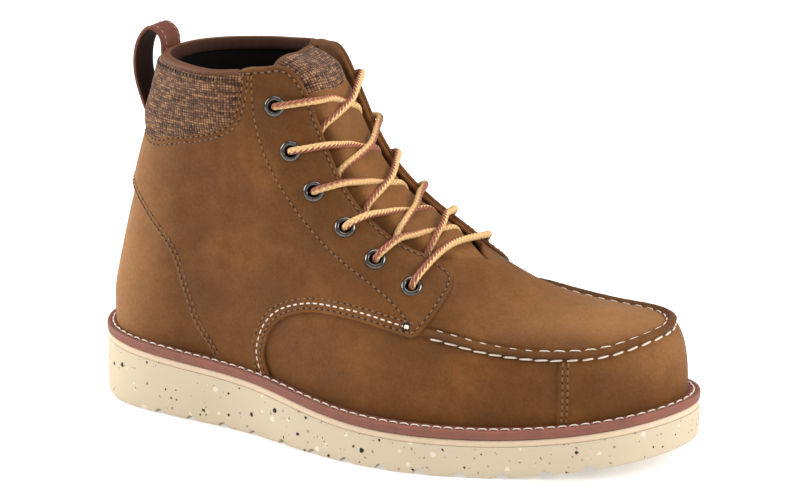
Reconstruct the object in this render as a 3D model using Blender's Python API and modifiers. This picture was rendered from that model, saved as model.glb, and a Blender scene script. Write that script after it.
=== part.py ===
"""Moc toe work boot for a right foot, standing on its sole.

+X points to the toe, -Y to the outer (lateral) side and +Z up. One surface function gives the last:
section rows round the boot set six level lines, and the wall profile runs up through them.
Upper, quarters, cuff, tongue and insole are all cut from that function, and the sole parts
from the same outline. Tables and sizes are in millimetres, the meshes in metres.
"""

from collections import namedtuple

import bmesh
import bpy
import numpy as np
from mathutils import Matrix, Vector

# Driving sizes of the boot, in millimetres.
MM = 0.001
GAP = 0.35                # clearance between pieces that meet
LEATHER = 2.4             # wall of the upper
OVERLAY = 1.5             # quarters and cuff that lie on the upper
WELT_HEIGHT = 4.2
MIDSOLE_HEIGHT = 3.0
INSOLE_HEIGHT = 4.0
LACE_DIAMETER = 4.0
LACE_LIFT = 0.8           # how far the lace clears the tongue
LACE_POINTS = 7
LACE_SIDES = 6
HALF_SPACE = 100.0        # reach of the cutters to either side
QUARTER_END = 8.7         # stations at which the quarter and the tongue end in front
TONGUE_FOOT = 8.8

# Toe spring, the rounded heel and the lugs along the tread edge.
TREAD_FLAT_END = 230.0
TOE_SPRING = 13.0
HEEL_ROUND_START = 30.0
HEEL_ROUND_RISE = 5.5
LUG_PITCH = 18.5
LUG_FIRST = 53.5
LUG_COUNT = 13
LUG_SLOT_WIDTH = 4.2
LUG_SLOT_HEIGHT = 2.2
LUG_SLOT_DEPTH = 22.0
LUG_SLOT_SIDES = 6

# Raised moccasin seam round the toe: its height, its half width in levels, and where it begins.
SEAM_HEIGHT = 2.6
SEAM_HALF_WIDTH = 0.13
SEAM_START = 7.1
SEAM_FADE = 0.6

# The sole's outer edge: along the boot and out to each side. The last columns give the width of welt
# that shows, how far the wall swells out over the welt's inner edge, and how far the tread lies in.
Edge = namedtuple("Edge", "name x lateral medial welt swell tread")
SOLE_EDGE = [
    Edge("heel_back", 7.7, -5.0, -5.0, 4.6, 0.0, -0.5),
    Edge("heel_corner", 18.0, -32.0, 22.0, 4.8, 0.3, 0.0),
    Edge("heel_side", 46.0, -45.0, 35.0, 5.5, 1.0, 1.2),
    Edge("shank", 85.0, -48.5, 33.5, 6.5, 1.2, 1.0),
    Edge("waist", 115.0, -53.0, 33.0, 6.5, 1.2, 0.5),
    Edge("arch", 140.0, -59.0, 35.0, 6.5, 1.2, -0.5),
    Edge("instep", 168.0, -63.0, 42.0, 6.5, 1.2, -1.0),
    Edge("ball", 195.0, -62.5, 49.5, 6.5, 1.2, -1.0),
    Edge("vamp", 220.0, -57.0, 54.0, 6.5, 1.0, -0.5),
    Edge("tread", 247.0, -48.0, 54.5, 6.5, 0.8, 0.5),
    Edge("toe_side", 276.0, -36.5, 46.5, 6.5, 0.2, 1.0),
    Edge("toe_corner", 298.5, -21.0, 30.5, 6.8, -0.4, 0.5),
    Edge("toe_tip", 310.5, 4.5, 4.5, 7.0, -0.6, 0.5),
]

# Where the wall passes at three heights, one row for each section of SOLE_EDGE.
Level = namedtuple("Level", "x z lateral medial")
SHOULDER = [
    Level(14.0, 65.0, -5.0, -5.0),
    Level(22.5, 65.0, -27.0, 17.0),
    Level(47.0, 65.0, -38.0, 28.0),
    Level(84.0, 65.5, -41.5, 30.0),
    Level(112.0, 65.5, -44.5, 31.5),
    Level(136.0, 65.0, -47.5, 33.5),
    Level(163.0, 64.0, -49.5, 37.0),
    Level(190.0, 62.5, -49.0, 41.0),
    Level(214.0, 60.2, -46.0, 44.0),
    Level(238.0, 57.8, -39.5, 44.5),
    Level(265.0, 58.3, -28.5, 38.5),
    Level(286.5, 61.8, -15.0, 27.0),
    Level(296.0, 64.8, 4.5, 4.5),
]
CROWN = [
    Level(27.5, 120.0, -2.0, -2.0),
    Level(32.5, 120.0, -20.0, 16.0),
    Level(51.0, 121.0, -32.0, 28.5),
    Level(82.0, 122.5, -37.0, 34.0),
    Level(104.0, 123.0, -38.5, 35.5),
    Level(122.0, 120.0, -38.5, 35.5),
    Level(145.0, 108.0, -37.0, 34.0),
    Level(176.0, 89.5, -36.0, 33.0),
    Level(203.0, 77.8, -32.5, 30.0),
    Level(227.0, 71.8, -23.0, 24.0),
    Level(251.0, 68.8, -13.0, 20.0),
    Level(270.0, 67.8, -3.0, 14.0),
    Level(278.5, 67.8, 4.5, 4.5),
]
TOP = [
    Level(42.0, 168.0, 0.0, 0.0),
    Level(46.5, 168.0, -17.5, 17.5),
    Level(60.5, 167.9, -30.5, 30.5),
    Level(82.0, 167.8, -38.5, 38.5),
    Level(104.0, 173.6, -33.5, 33.5),
    Level(123.5, 168.7, -26.5, 20.5),
    Level(144.0, 125.0, -26.7, 23.5),
    Level(174.0, 98.0, -27.0, 26.5),
    Level(196.0, 89.5, -16.0, 16.0),
    Level(208.0, 86.5, 0.0, 0.0),
    Level(233.0, 75.5, 1.0, 1.0),
    Level(254.0, 70.8, 3.0, 3.0),
    Level(263.0, 69.6, 4.0, 4.0),
]

# Height of the welt's underside along the boot.
Height = namedtuple("Height", "x z")
SOLE_TOP = [
    Height(0.0, 34.0),
    Height(30.0, 31.8),
    Height(70.0, 29.2),
    Height(115.0, 26.0),
    Height(160.0, 19.8),
    Height(200.0, 18.4),
    Height(240.0, 19.2),
    Height(275.0, 23.5),
    Height(311.0, 31.0),
]

# Side of the outsole from its top edge down to the tread: inset, share of the tread's own inset, and height.
Flank = namedtuple("Flank", "name inset tread rise")
OUTSOLE_SIDE = [
    Flank("bevel", 1.0, 0.0, 1.0),
    Flank("edge", 0.2, 0.0, 0.93),
    Flank("side", 0.0, 0.3, 0.5),
    Flank("skirt", 0.0, 0.8, 0.12),
    Flank("tread", 0.7, 1.0, 0.0),
]

# The welt's section from its lower edge round to the wall: inset and share of its height.
Rim = namedtuple("Rim", "inset share")
WELT_SIDE = [Rim(0.3, 0.0), Rim(0.0, 0.3), Rim(0.3, 0.85), Rim(1.2, 1.0)]
MIDSOLE_INSET = 0.6

# How high the two low levels of the wall lie above the welt's underside.
RAND_HEIGHT = 5.2
BELLY_HEIGHT = 20.0

# Edges that the quarter and the cuff are cut to, seen from the side.
Point = namedtuple("Point", "x z")
COUNTER_SEAM = [
    Point(-10, 112), Point(22, 109), Point(32, 106), Point(44.5, 96.5), Point(59.5, 84.5),
    Point(67.5, 72), Point(71.5, 58), Point(77, 45), Point(82, 33), Point(88, 20),
]
WING_EDGE = [
    Point(111, 20), Point(112.5, 33), Point(115.5, 45), Point(120, 55.5), Point(130.5, 62),
    Point(144, 64.8), Point(170, 64.5), Point(189.5, 61.5),
]
TAB_EDGE = [
    Point(189.5, 61.5), Point(194, 64), Point(198, 70), Point(200.5, 76), Point(200.5, 81.5),
    Point(196.5, 86.5), Point(188, 91.5), Point(176, 99), Point(172, 120),
]
CUFF_LINE = [
    Point(-10, 150), Point(31, 144), Point(35, 137), Point(40, 133.5), Point(54, 136), Point(75, 141.5),
    Point(87, 149), Point(95, 159), Point(97.5, 168), Point(98, 190),
]
BACK_SEAM_Y = -1.0

# Eyelets down each facing, seen from the side.
EYELET_ROWS = [
    Point(113.4, 157), Point(122.4, 137), Point(134.8, 119.3), Point(151.4, 104.2), Point(168, 91.5),
    Point(186.7, 81),
]
EYELET_HOLE = 3.3
EYELET_STEPS = 8
EYELET_FLANGE = 4.7
HOLE_REACH = 16.0
Turned = namedtuple("Turned", "radius z")
EYELET_PROFILE = [
    Turned(2.6, 0.5), Turned(3.5, 0.95), Turned(4.5, 0.55), Turned(EYELET_FLANGE, 0.0),
    Turned(2.95, 0.0), Turned(2.95, -1.8), Turned(2.6, -1.8),
]
THROAT_HEAD = 5.05
BAR_LEAD = 0.35           # how far in front of its eyelets the bottom bar crosses, in stations

# Tongue: arched across the throat, tucked under the facings, standing out at the collar.
TONGUE_THICK = 2.6
TONGUE_RISE = 4.0
TONGUE_FULL_WIDTH = 47.0
TONGUE_TUCK = 8.0
TONGUE_DROP = 7.0         # how much deeper the tongue lies under the facings than in the middle
TONGUE_DROP_START = 0.35  # share of the throat's half width at which it begins to fall away
TONGUE_DROP_REACH = 0.75
TONGUE_OUT = 18.0
TONGUE_LEAN = np.array([-0.98, 0.0, 0.2])
TONGUE_TOE = np.array([7.0, 0.0, -4.2])
TONGUE_GAP = 0.8
TONGUE_ROWS = 10
TONGUE_COLUMNS = 9

CUFF_THICK = 2.0
BINDING_WIDTH = 6.0
BINDING_HEIGHT = 4.4
BINDING_END = 3.7
BINDING_SECTIONS = 23
BINDING_SIDES = 8
CUFF_END = 4.6

# Pull loop: the middle of the strap seen from the side.
LOOP_WIDTH = 16.0
LOOP_THICK = 2.2
LOOP_PATH = [
    Point(29.5, 138), Point(25.2, 147), Point(22.4, 157), Point(22.4, 168), Point(25.8, 177),
    Point(31.0, 181), Point(35.6, 179), Point(37.6, 175), Point(37.6, 170.5),
]

EYELET_SEAT = GAP + OVERLAY + 2 * GAP
LACE_OVER = GAP + OVERLAY + 6 * GAP + LACE_DIAMETER / 2
BAR_OVER = LACE_OVER - 2 * GAP
LACE_REST = LACE_DIAMETER / 2 - LEATHER - TONGUE_GAP + LACE_LIFT
SMOOTH_ANGLE = 0.6
MERGE = 1e-6

STATIONS = len(SOLE_EDGE)
RING = 2 * (STATIONS - 1)
TOE = STATIONS - 1
RIDGE_START = 9
LEVEL_ROWS = [0.0, 1.0, 2.0, 2.5, 2.88, 3.0, 3.12, 3.5, 4.0, 4.5, 5.0]
FACING_LEVELS = np.array([4.0, 4.25, 4.5, 4.75, 5.0])
TOP_LEVEL = 5
SEAM_LEVEL = 3
STEP = 1e-3
TINY = 1e-12
ONE_SIDE = np.concatenate([np.arange(0, 2, 1 / 3), np.arange(2, 9, 1 / 2), np.arange(9, 12, 1 / 3)])
COLUMNS = np.concatenate([ONE_SIDE, [TOE], RING - ONE_SIDE[:0:-1]])


def ring_of(table, *columns):
    """A closed ring of rows: outer side from heel to toe, then the inner side back."""
    outer = [[getattr(row, c.replace("side", "lateral")) for c in columns] for row in table]
    inner = [[getattr(row, c.replace("side", "medial")) for c in columns] for row in table[-2:0:-1]]
    return np.array(outer + inner, float)


def periodic_spline(points):
    """Cubic curve through a closed ring of points, with one unit of parameter from point to point."""
    count = len(points)
    unit = np.eye(count)
    matrix = 4 * unit + np.roll(unit, 1, 0) + np.roll(unit, -1, 0)
    bend = np.linalg.solve(matrix, 6 * (np.roll(points, -1, 0) - 2 * points + np.roll(points, 1, 0)))

    def at(s):
        s = np.mod(np.asarray(s, float), count)
        i = np.floor(s).astype(int) % count
        j = (i + 1) % count
        f = (s - np.floor(s))[:, None]
        g = 1 - f
        return points[i] * g + points[j] * f + ((g**3 - g) * bend[i] + (f**3 - f) * bend[j]) / 6

    return at


def natural_spline(knots, points):
    """Cubic curve through points at rising knots, straight at both ends."""
    knots = np.asarray(knots, float)
    points = np.asarray(points, float)
    gap = np.diff(knots)
    count = len(knots)
    matrix = np.eye(count)
    right = np.zeros_like(points)
    for i in range(1, count - 1):
        matrix[i, i - 1:i + 2] = gap[i - 1], 2 * (gap[i - 1] + gap[i]), gap[i]
        right[i] = 6 * ((points[i + 1] - points[i]) / gap[i] - (points[i] - points[i - 1]) / gap[i - 1])
    bend = np.linalg.solve(matrix, right)

    def at(u):
        u = np.clip(np.asarray(u, float), knots[0], knots[-1])
        i = np.clip(np.searchsorted(knots, u, "right") - 1, 0, count - 2)
        h = gap[i].reshape(-1, *[1] * (points.ndim - 1))
        f = ((u - knots[i]) / gap[i]).reshape(h.shape)
        g = 1 - f
        curve = points[i] * g + points[i + 1] * f
        return curve + ((g**3 - g) * bend[i] + (f**3 - f) * bend[i + 1]) * h**2 / 6

    return at


edge_curve = periodic_spline(ring_of(SOLE_EDGE, "x", "side"))
welt_curve = periodic_spline(ring_of(SOLE_EDGE, "welt"))
swell_curve = periodic_spline(ring_of(SOLE_EDGE, "swell"))
tread_curve = periodic_spline(ring_of(SOLE_EDGE, "tread"))
shoulder_curve = periodic_spline(ring_of(SHOULDER, "x", "side", "z"))
crown_curve = periodic_spline(ring_of(CROWN, "x", "side", "z"))
top_curve = periodic_spline(ring_of(TOP, "x", "side", "z"))
sole_top = natural_spline([row.x for row in SOLE_TOP], [row.z for row in SOLE_TOP])

outline = edge_curve(np.linspace(0, RING, 721))
ORIGIN = np.append((outline.min(0) + outline.max(0)) / 2, 0.0)
HEEL_X = outline[:, 0].min()
TOE_X = outline[:, 0].max()


def ground(x):
    """Height of the tread: flat, with the toe sprung and the heel rounded."""
    toe = np.clip((x - TREAD_FLAT_END) / (TOE_X - TREAD_FLAT_END), 0, 1)
    heel = np.clip((HEEL_ROUND_START - x) / (HEEL_ROUND_START - HEEL_X), 0, 1)
    return TOE_SPRING * toe**1.6 + HEEL_ROUND_RISE * heel**2.5


def edge_normals(s):
    along = edge_curve(s + STEP) - edge_curve(s - STEP)
    normal = np.stack([along[:, 1], -along[:, 0]], -1)
    return normal / np.linalg.norm(normal, axis=1)[:, None]


def edge_ring(s, inset):
    """The sole's outline drawn in by inset."""
    return edge_curve(s) - edge_normals(s) * np.reshape(inset, (-1, 1))


def on_ridge(s):
    """True in front of the throat, where both sides of the wall meet."""
    return np.abs(np.mod(s, RING) - TOE) <= TOE - RIDGE_START


def level_lines(s):
    """The six lines that the wall passes through, from the welt to the top edge: levels x columns x 3."""
    foot = edge_ring(s, welt_curve(s))
    belly = edge_ring(s, welt_curve(s) - swell_curve(s))
    rest = sole_top(foot[:, 0])
    feather = np.column_stack([foot, rest])
    rand = np.column_stack([foot, rest + RAND_HEIGHT])
    belly = np.column_stack([belly, rest + BELLY_HEIGHT])
    top = top_curve(s)
    closed = on_ridge(s)
    top[closed] = (top[closed] + top_curve(RING - s[closed])) / 2
    return np.stack([feather, rand, belly, shoulder_curve(s), crown_curve(s), top])


def chord_spline(points):
    """Smooth curve through points, and the distance of each of them along it."""
    chord = np.append(0, np.cumsum(np.linalg.norm(np.diff(points, axis=0), axis=1)))
    return natural_spline(chord, points), chord


def wall(s, t):
    """Points of the last's surface: rows of levels t by columns s."""
    lines = level_lines(s)
    mirror = level_lines(np.mod(RING - s, RING))
    out = np.empty((len(t), len(s), 3))
    for column in range(len(s)):
        points = lines[:, column]
        if on_ridge(s[column]):
            points = np.concatenate([points, mirror[-2::-1, column]])
        curve, chord = chord_spline(points)
        out[:, column] = curve(np.interp(t, np.arange(len(points)), chord))
    return out


def unit(vectors):
    return vectors / np.maximum(np.linalg.norm(vectors, axis=-1, keepdims=True), TINY)


def skin(s, t, offset):
    """The last's surface moved out along its normal, with the moccasin seam standing up in front."""
    s = np.asarray(s, float)
    t = np.asarray(t, float)
    base = wall(s, t)
    along = wall(s + STEP, t) - wall(s - STEP, t)
    up = wall(s, np.minimum(t + STEP, TOP_LEVEL)) - wall(s, np.maximum(t - STEP, 0))
    normal = unit(np.cross(along, up))
    fade = np.clip((TOE - SEAM_START - np.abs(np.mod(s, RING) - TOE)) / SEAM_FADE, 0, 1)
    near = np.clip(1 - np.abs(t - SEAM_LEVEL) / SEAM_HALF_WIDTH, 0, 1)
    bump = SEAM_HEIGHT * (near * near * (3 - 2 * near))[:, None] * fade
    return base + normal * (offset + bump)[..., None]


def throat_section(s):
    """Section at one column carried across the throat from its middle, and half the throat's width."""
    near, far = wall(np.array([s, RING - s]), FACING_LEVELS).transpose(1, 0, 2)
    middle = (near[-1] + far[-1]) / 2
    across = far[-1] - near[-1]
    slope = top_curve(np.array([s + STEP]))[0] - top_curve(np.array([s - STEP]))[0]
    slope[1] = 0.0
    arch = min(1, np.linalg.norm(across) / TONGUE_FULL_WIDTH) ** 3
    lift = unit(np.cross(slope, across)) * TONGUE_RISE * arch
    curve, chord = chord_spline(np.array([*near, middle + lift, *far[::-1]]))
    centre = chord[len(near)]
    return lambda w: curve(centre + np.asarray(w, float)), centre - chord[len(near) - 1]


def over_throat(s, w, offset):
    """Points s along the boot and w millimetres across from the throat's middle, offset from the surface."""
    points = []
    for column, across, lift in np.broadcast(s, w, offset):
        here = throat_section(column)[0]([across])[0]
        ahead = throat_section(column + STEP)[0]([across])[0]
        beside = throat_section(column)[0]([across + STEP])[0]
        points.append(here + unit(np.cross(ahead - here, beside - here)) * lift)
    return np.array(points)


def to_frame(points):
    return (np.asarray(points, float) - ORIGIN) * MM


def material_of(name, colour, roughness, metallic=0.0):
    material = bpy.data.materials.new(name)
    material.use_nodes = True
    shader = material.node_tree.nodes["Principled BSDF"]
    shader.inputs["Base Color"].default_value = (*colour, 1.0)
    shader.inputs["Roughness"].default_value = roughness
    shader.inputs["Metallic"].default_value = metallic
    return material


def add_object(name, points, faces, material, collection, close=True):
    """A mesh object from points in the tables' millimetres, with points that coincide made one."""
    mesh = bpy.data.meshes.new(name)
    mesh.from_pydata([tuple(p) for p in to_frame(points)], [], faces)
    solid = bmesh.new()
    solid.from_mesh(mesh)
    bmesh.ops.remove_doubles(solid, verts=solid.verts, dist=MERGE)
    if close:
        bmesh.ops.recalc_face_normals(solid, faces=solid.faces)
    solid.to_mesh(mesh)
    solid.free()
    obj = bpy.data.objects.new(name, mesh)
    collection.objects.link(obj)
    if material:
        mesh.materials.append(material)
    mesh.shade_smooth()
    mesh.set_sharp_from_angle(angle=SMOOTH_ANGLE)
    return obj


def grid_faces(index):
    """Triangles over rows of vertex numbers, all cut the same way, without those that have no area."""
    faces = []
    for low, high in zip(index[:-1], index[1:]):
        for i in range(len(low) - 1):
            for corners in ([low[i], low[i + 1], high[i + 1]], [low[i], high[i + 1], high[i]]):
                if len(set(corners)) == 3:
                    faces.append([int(c) for c in corners])
    return faces


def numbered(rows, columns, closed):
    index = np.arange(rows * columns).reshape(rows, columns)
    return np.concatenate([index, index[:, :1]], 1) if closed else index


def plate(name, rings, material, collection):
    """A solid through stacked rings of the outline, with caps laid across from side to side."""
    rows, columns = len(rings), len(rings[0])
    index = numbered(rows, columns, True)
    faces = grid_faces(index)
    for ring in (index[0], index[-1]):
        outer = ring[:columns // 2 + 1]
        inner = ring[columns:columns // 2 - 1:-1]
        faces += grid_faces([outer, inner])
    return add_object(name, np.concatenate(rings), faces, material, collection)


def swept(name, sections, material, collection):
    """A solid through closed sections that follow each other, with flat ends."""
    rows, columns = len(sections), len(sections[0])
    faces = grid_faces(numbered(rows, columns, True))
    faces += [list(range(columns)), list(range((rows - 1) * columns, rows * columns))]
    return add_object(name, np.concatenate(sections), faces, material, collection)


def sheet(name, points, thickness, outward, material, collection):
    """An open grid of points with Solidify, outwards or inwards."""
    rows, columns = points.shape[:2]
    obj = add_object(name, points.reshape(-1, 3), grid_faces(numbered(rows, columns, False)), material,
                     collection, close=False)
    thicken(obj, thickness, outward)
    return obj


def thicken(obj, thickness, outward):
    solidify = obj.modifiers.new("wall", "SOLIDIFY")
    solidify.thickness = thickness * MM
    solidify.offset = 1.0 if outward else -1.0
    solidify.use_quality_normals = True


def boolean(obj, operation, other):
    cut = obj.modifiers.new(other.name, "BOOLEAN")
    cut.operation = operation
    cut.object = other
    cut.solver = "EXACT"


def hide_cutter(obj):
    obj.hide_render = True
    obj.display_type = "WIRE"
    return obj


def smooth_run(points, step=6.0):
    """A smooth line through points of the side view."""
    curve, chord = chord_spline(np.array(points, float))
    return curve(np.linspace(0, chord[-1], int(chord[-1] / step) + 1))


def shifted(run, distance):
    """A line of the side view moved to its left by distance."""
    along = unit(np.gradient(run, axis=0))
    return run + np.stack([-along[:, 1], along[:, 0]], -1) * distance


def prism(name, outline_xz, y_low, y_high, cutters):
    """A cutter: an outline of the side view drawn out across the boot."""
    sections = [np.column_stack([outline_xz[:, 0], np.full(len(outline_xz), y), outline_xz[:, 1]])
                for y in (y_low, y_high)]
    return hide_cutter(swept(name, sections, None, cutters))


def outline_at(inset, height):
    ring = edge_ring(COLUMNS, inset)
    return np.column_stack([ring, height(ring[:, 0])])


def make_outsole(parts, cutters):
    def rise(share):
        return lambda x: ground(x) + share * (sole_top(x) - MIDSOLE_HEIGHT - 2 * GAP - ground(x))

    tread = tread_curve(COLUMNS)[:, 0]
    rings = [outline_at(row.inset + row.tread * tread, rise(row.rise)) for row in OUTSOLE_SIDE]
    rubber = material_of("foamed_rubber_cream", (0.78, 0.68, 0.47), 0.75)
    obj = plate("outsole", rings, rubber, parts)
    boolean(obj, "DIFFERENCE", lug_slots(cutters))


def lug_slots(cutters):
    """Slots cut in from both sides between the lugs of the tread edge."""
    slots = bmesh.new()
    outer = np.linspace(0, TOE, 601)
    outer_x = edge_curve(outer)[:, 0]
    for number in range(LUG_COUNT):
        x = LUG_FIRST + number * LUG_PITCH
        station = np.interp(x, outer_x, outer)
        for s in (np.array([station]), np.array([RING - station])):
            normal = edge_normals(s)[0]
            place = np.append(edge_curve(s)[0], ground(x))
            frame = np.eye(4)
            frame[:3, 0] = np.array([-normal[1], normal[0], 0]) * LUG_SLOT_WIDTH / 2 * MM
            frame[:3, 1] = np.array([0, 0, LUG_SLOT_HEIGHT]) * MM
            frame[:3, 2] = np.append(normal, 0) * MM
            frame[:3, 3] = to_frame(place)
            bmesh.ops.create_cone(slots, cap_ends=True, segments=LUG_SLOT_SIDES, radius1=1, radius2=1,
                                  depth=2 * LUG_SLOT_DEPTH, matrix=Matrix(frame.tolist()))
    mesh = bpy.data.meshes.new("lug_slots")
    slots.to_mesh(mesh)
    slots.free()
    obj = bpy.data.objects.new("lug_slots", mesh)
    cutters.objects.link(obj)
    return hide_cutter(obj)


def make_midsole(parts):
    rings = [outline_at(MIDSOLE_INSET, lambda x: sole_top(x) - GAP),
             outline_at(MIDSOLE_INSET, lambda x: sole_top(x) - GAP - MIDSOLE_HEIGHT)]
    plate("midsole", rings, material_of("midsole_peach", (0.83, 0.62, 0.42), 0.7), parts)


def make_welt(parts):
    inner = welt_curve(COLUMNS)[:, 0] - GAP
    corners = [*WELT_SIDE, Rim(inner, 1.0), Rim(inner, 0.0)]
    rings = [outline_at(inset, lambda x, share=share: sole_top(x) + share * WELT_HEIGHT)
             for inset, share in corners]
    index = numbered(len(rings), len(COLUMNS), True)
    index = np.concatenate([index, index[:1]])
    leather = material_of("welt_leather", (0.28, 0.10, 0.06), 0.6)
    add_object("welt", np.concatenate(rings), grid_faces(index), leather, parts)


def make_insole(parts):
    inset = welt_curve(COLUMNS)[:, 0] + LEATHER + 2 * GAP
    rings = [outline_at(inset, lambda x: sole_top(x) + INSOLE_HEIGHT), outline_at(inset, sole_top)]
    plate("insole", rings, material_of("insole_cloth", (0.03, 0.03, 0.03), 0.9), parts)


def make_upper(parts, holes):
    points = skin(COLUMNS, LEVEL_ROWS, np.zeros((len(LEVEL_ROWS), len(COLUMNS))))
    faces = grid_faces(numbered(*points.shape[:2], True))
    leather = material_of("nubuck_brown", (0.20, 0.09, 0.03), 0.8)
    obj = add_object("upper", points.reshape(-1, 3), faces, leather, parts, close=False)
    thicken(obj, LEATHER, outward=False)
    boolean(obj, "DIFFERENCE", holes)


def make_quarter(side, parts, cutters, holes):
    """Quarter with its eyestay: a layer on the upper, cut to the counter, cuff, tab and wing edges."""
    columns = np.concatenate([-ONE_SIDE[6:0:-1], ONE_SIDE[ONE_SIDE < QUARTER_END]])
    if side == "medial":
        columns = RING - columns[::-1]
    rows = [t for t in LEVEL_ROWS if t >= 1]
    points = skin(columns, rows, np.full((len(rows), len(columns)), GAP))
    leather = material_of(f"nubuck_{side}", (0.22, 0.10, 0.035), 0.8)
    obj = sheet(f"quarter_{side}", points, OVERLAY, True, leather, parts)
    outline_xz = np.concatenate([smooth_run(COUNTER_SEAM)[::-1], smooth_run(CUFF_LINE), [[172, 190]],
                                 smooth_run(TAB_EDGE)[::-1], smooth_run(WING_EDGE)[::-1][1:]])
    low, high = -HALF_SPACE, BACK_SEAM_Y - GAP / 2
    if side == "medial":
        low, high = BACK_SEAM_Y + GAP / 2, HALF_SPACE
    boolean(obj, "INTERSECT", prism(f"quarter_cut_{side}", outline_xz, low, high, cutters))
    boolean(obj, "DIFFERENCE", holes)


def make_cuff(parts, cutters):
    half = ONE_SIDE[ONE_SIDE < CUFF_END]
    columns = np.concatenate([-half[:0:-1], half])
    rows = [t for t in LEVEL_ROWS if t >= 4]
    points = skin(columns, rows, np.full((len(rows), len(columns)), GAP))
    knit = material_of("knit_tweed", (0.10, 0.05, 0.025), 0.95)
    obj = sheet("knit_cuff", points, CUFF_THICK, True, knit, parts)
    line = shifted(smooth_run(CUFF_LINE), GAP)
    outline_xz = np.concatenate([line, [[-10, 190]]])
    boolean(obj, "INTERSECT", prism("cuff_cut", outline_xz, -HALF_SPACE, HALF_SPACE, cutters))


def make_binding(parts):
    columns = np.linspace(-BINDING_END, BINDING_END, BINDING_SECTIONS)
    rim = skin(columns, [TOP_LEVEL], np.zeros((1, len(columns))))[0]
    out = skin(columns, [TOP_LEVEL], np.ones((1, len(columns))))[0] - rim
    out[:, 2] = 0
    out = unit(out)
    turn = np.arange(BINDING_SIDES) * 2 * np.pi / BINDING_SIDES
    up = np.array([0, 0, 1.0])
    middle = rim + up * (GAP + BINDING_HEIGHT / 2)
    high = np.outer(np.sin(turn), up) * BINDING_HEIGHT / 2
    sections = [m + np.outer(np.cos(turn), o) * BINDING_WIDTH / 2 + high for m, o in zip(middle, out)]
    swept("collar_binding", sections, material_of("binding_leather", (0.10, 0.045, 0.025), 0.45), parts)


def make_tongue(parts):
    stations = np.linspace(TONGUE_FOOT, THROAT_HEAD, TONGUE_ROWS)
    shares = np.linspace(-1, 1, TONGUE_COLUMNS)
    rows = []
    for s in stations:
        half = throat_section(s)[1]
        across = shares * (half + TONGUE_TUCK)
        fall = np.clip((np.abs(across) / half - TONGUE_DROP_START) / TONGUE_DROP_REACH, 0, 1)
        depth = LEATHER + TONGUE_GAP + TONGUE_DROP * fall * fall * (3 - 2 * fall)
        rows.append(over_throat(s, across, -depth))
    ahead = unit(rows[-1] - rows[-2])
    reach = TONGUE_OUT * (1 - np.abs(shares) ** 3)[:, None]
    bend = rows[-1] + unit(ahead + TONGUE_LEAN) * reach / 2
    rows = [rows[0] + TONGUE_TOE, *rows, bend, bend + TONGUE_LEAN * reach / 2]
    leather = material_of("tongue_leather", (0.19, 0.085, 0.03), 0.8)
    sheet("tongue", np.array(rows), TONGUE_THICK, False, leather, parts)


def make_loop(parts):
    run = smooth_run(LOOP_PATH, 5.0)
    sections = []
    for (x, z), (nx, nz) in zip(run, shifted(run, 1.0) - run):
        sections.append([[x + nx * side * LOOP_THICK / 2, y * LOOP_WIDTH / 2, z + nz * side * LOOP_THICK / 2]
                         for side, y in ((-1, -1), (-1, 1), (1, 1), (1, -1))])
    swept("pull_loop", np.array(sections), material_of("loop_leather", (0.16, 0.07, 0.03), 0.6), parts)


def on_side(x, z, start):
    """Station and level of the wall at a place of the side view, found by Newton's method."""
    here = np.array(start, float)
    for _ in range(12):
        found = wall(here[:1], here[1:])[0, 0, [0, 2]]
        along = (wall(here[:1] + STEP, here[1:])[0, 0, [0, 2]] - found) / STEP
        up = (wall(here[:1], here[1:] + STEP)[0, 0, [0, 2]] - found) / STEP
        here = here + np.linalg.solve(np.column_stack([along, up]), [x - found[0], z - found[1]])
    return here


def wall_point(s, t, offset):
    return skin([s], [t], np.full((1, 1), offset))[0, 0]


def eyelet_places():
    """Station and level of each eyelet of the outer side, from the collar down."""
    return [on_side(row.x, row.z, (5.0 + 0.6 * number, 4.6)) for number, row in enumerate(EYELET_ROWS)]


def eyelet_frame(s, t):
    """Matrix that stands an eyelet on the quarter, its Z axis along the surface normal."""
    low = wall_point(s, t, EYELET_SEAT)
    turn = Vector(wall_point(s, t, EYELET_SEAT + 1) - low).to_track_quat("Z", "Y").to_matrix().to_4x4()
    return Matrix.Translation(Vector(to_frame(low))) @ turn


def make_eyelets(parts):
    metal = material_of("gunmetal", (0.10, 0.10, 0.10), 0.35, 1.0)
    mesh = bpy.data.meshes.new("eyelet")
    count = len(EYELET_PROFILE)
    mesh.from_pydata([(row.radius * MM, 0, row.z * MM) for row in EYELET_PROFILE],
                     [(i, (i + 1) % count) for i in range(count)], [])
    mesh.materials.append(metal)
    for number, (s, t) in enumerate(eyelet_places(), 1):
        for side, station in (("lateral", s), ("medial", RING - s)):
            obj = bpy.data.objects.new(f"eyelet_{side}_{number}", mesh)
            parts.objects.link(obj)
            obj.matrix_world = eyelet_frame(station, t)
            turned = obj.modifiers.new("turned", "SCREW")
            turned.steps = turned.render_steps = EYELET_STEPS
            turned.use_merge_vertices = True
            turned.merge_threshold = MERGE


def eyelet_holes(cutters):
    holes = bmesh.new()
    for s, t in eyelet_places():
        for station in (s, RING - s):
            bmesh.ops.create_cone(holes, cap_ends=True, segments=EYELET_STEPS, radius1=EYELET_HOLE * MM,
                                  radius2=EYELET_HOLE * MM, depth=HOLE_REACH * MM,
                                  matrix=eyelet_frame(station, t))
    mesh = bpy.data.meshes.new("eyelet_holes")
    holes.to_mesh(mesh)
    holes.free()
    obj = bpy.data.objects.new("eyelet_holes", mesh)
    cutters.objects.link(obj)
    return hide_cutter(obj)


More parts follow.
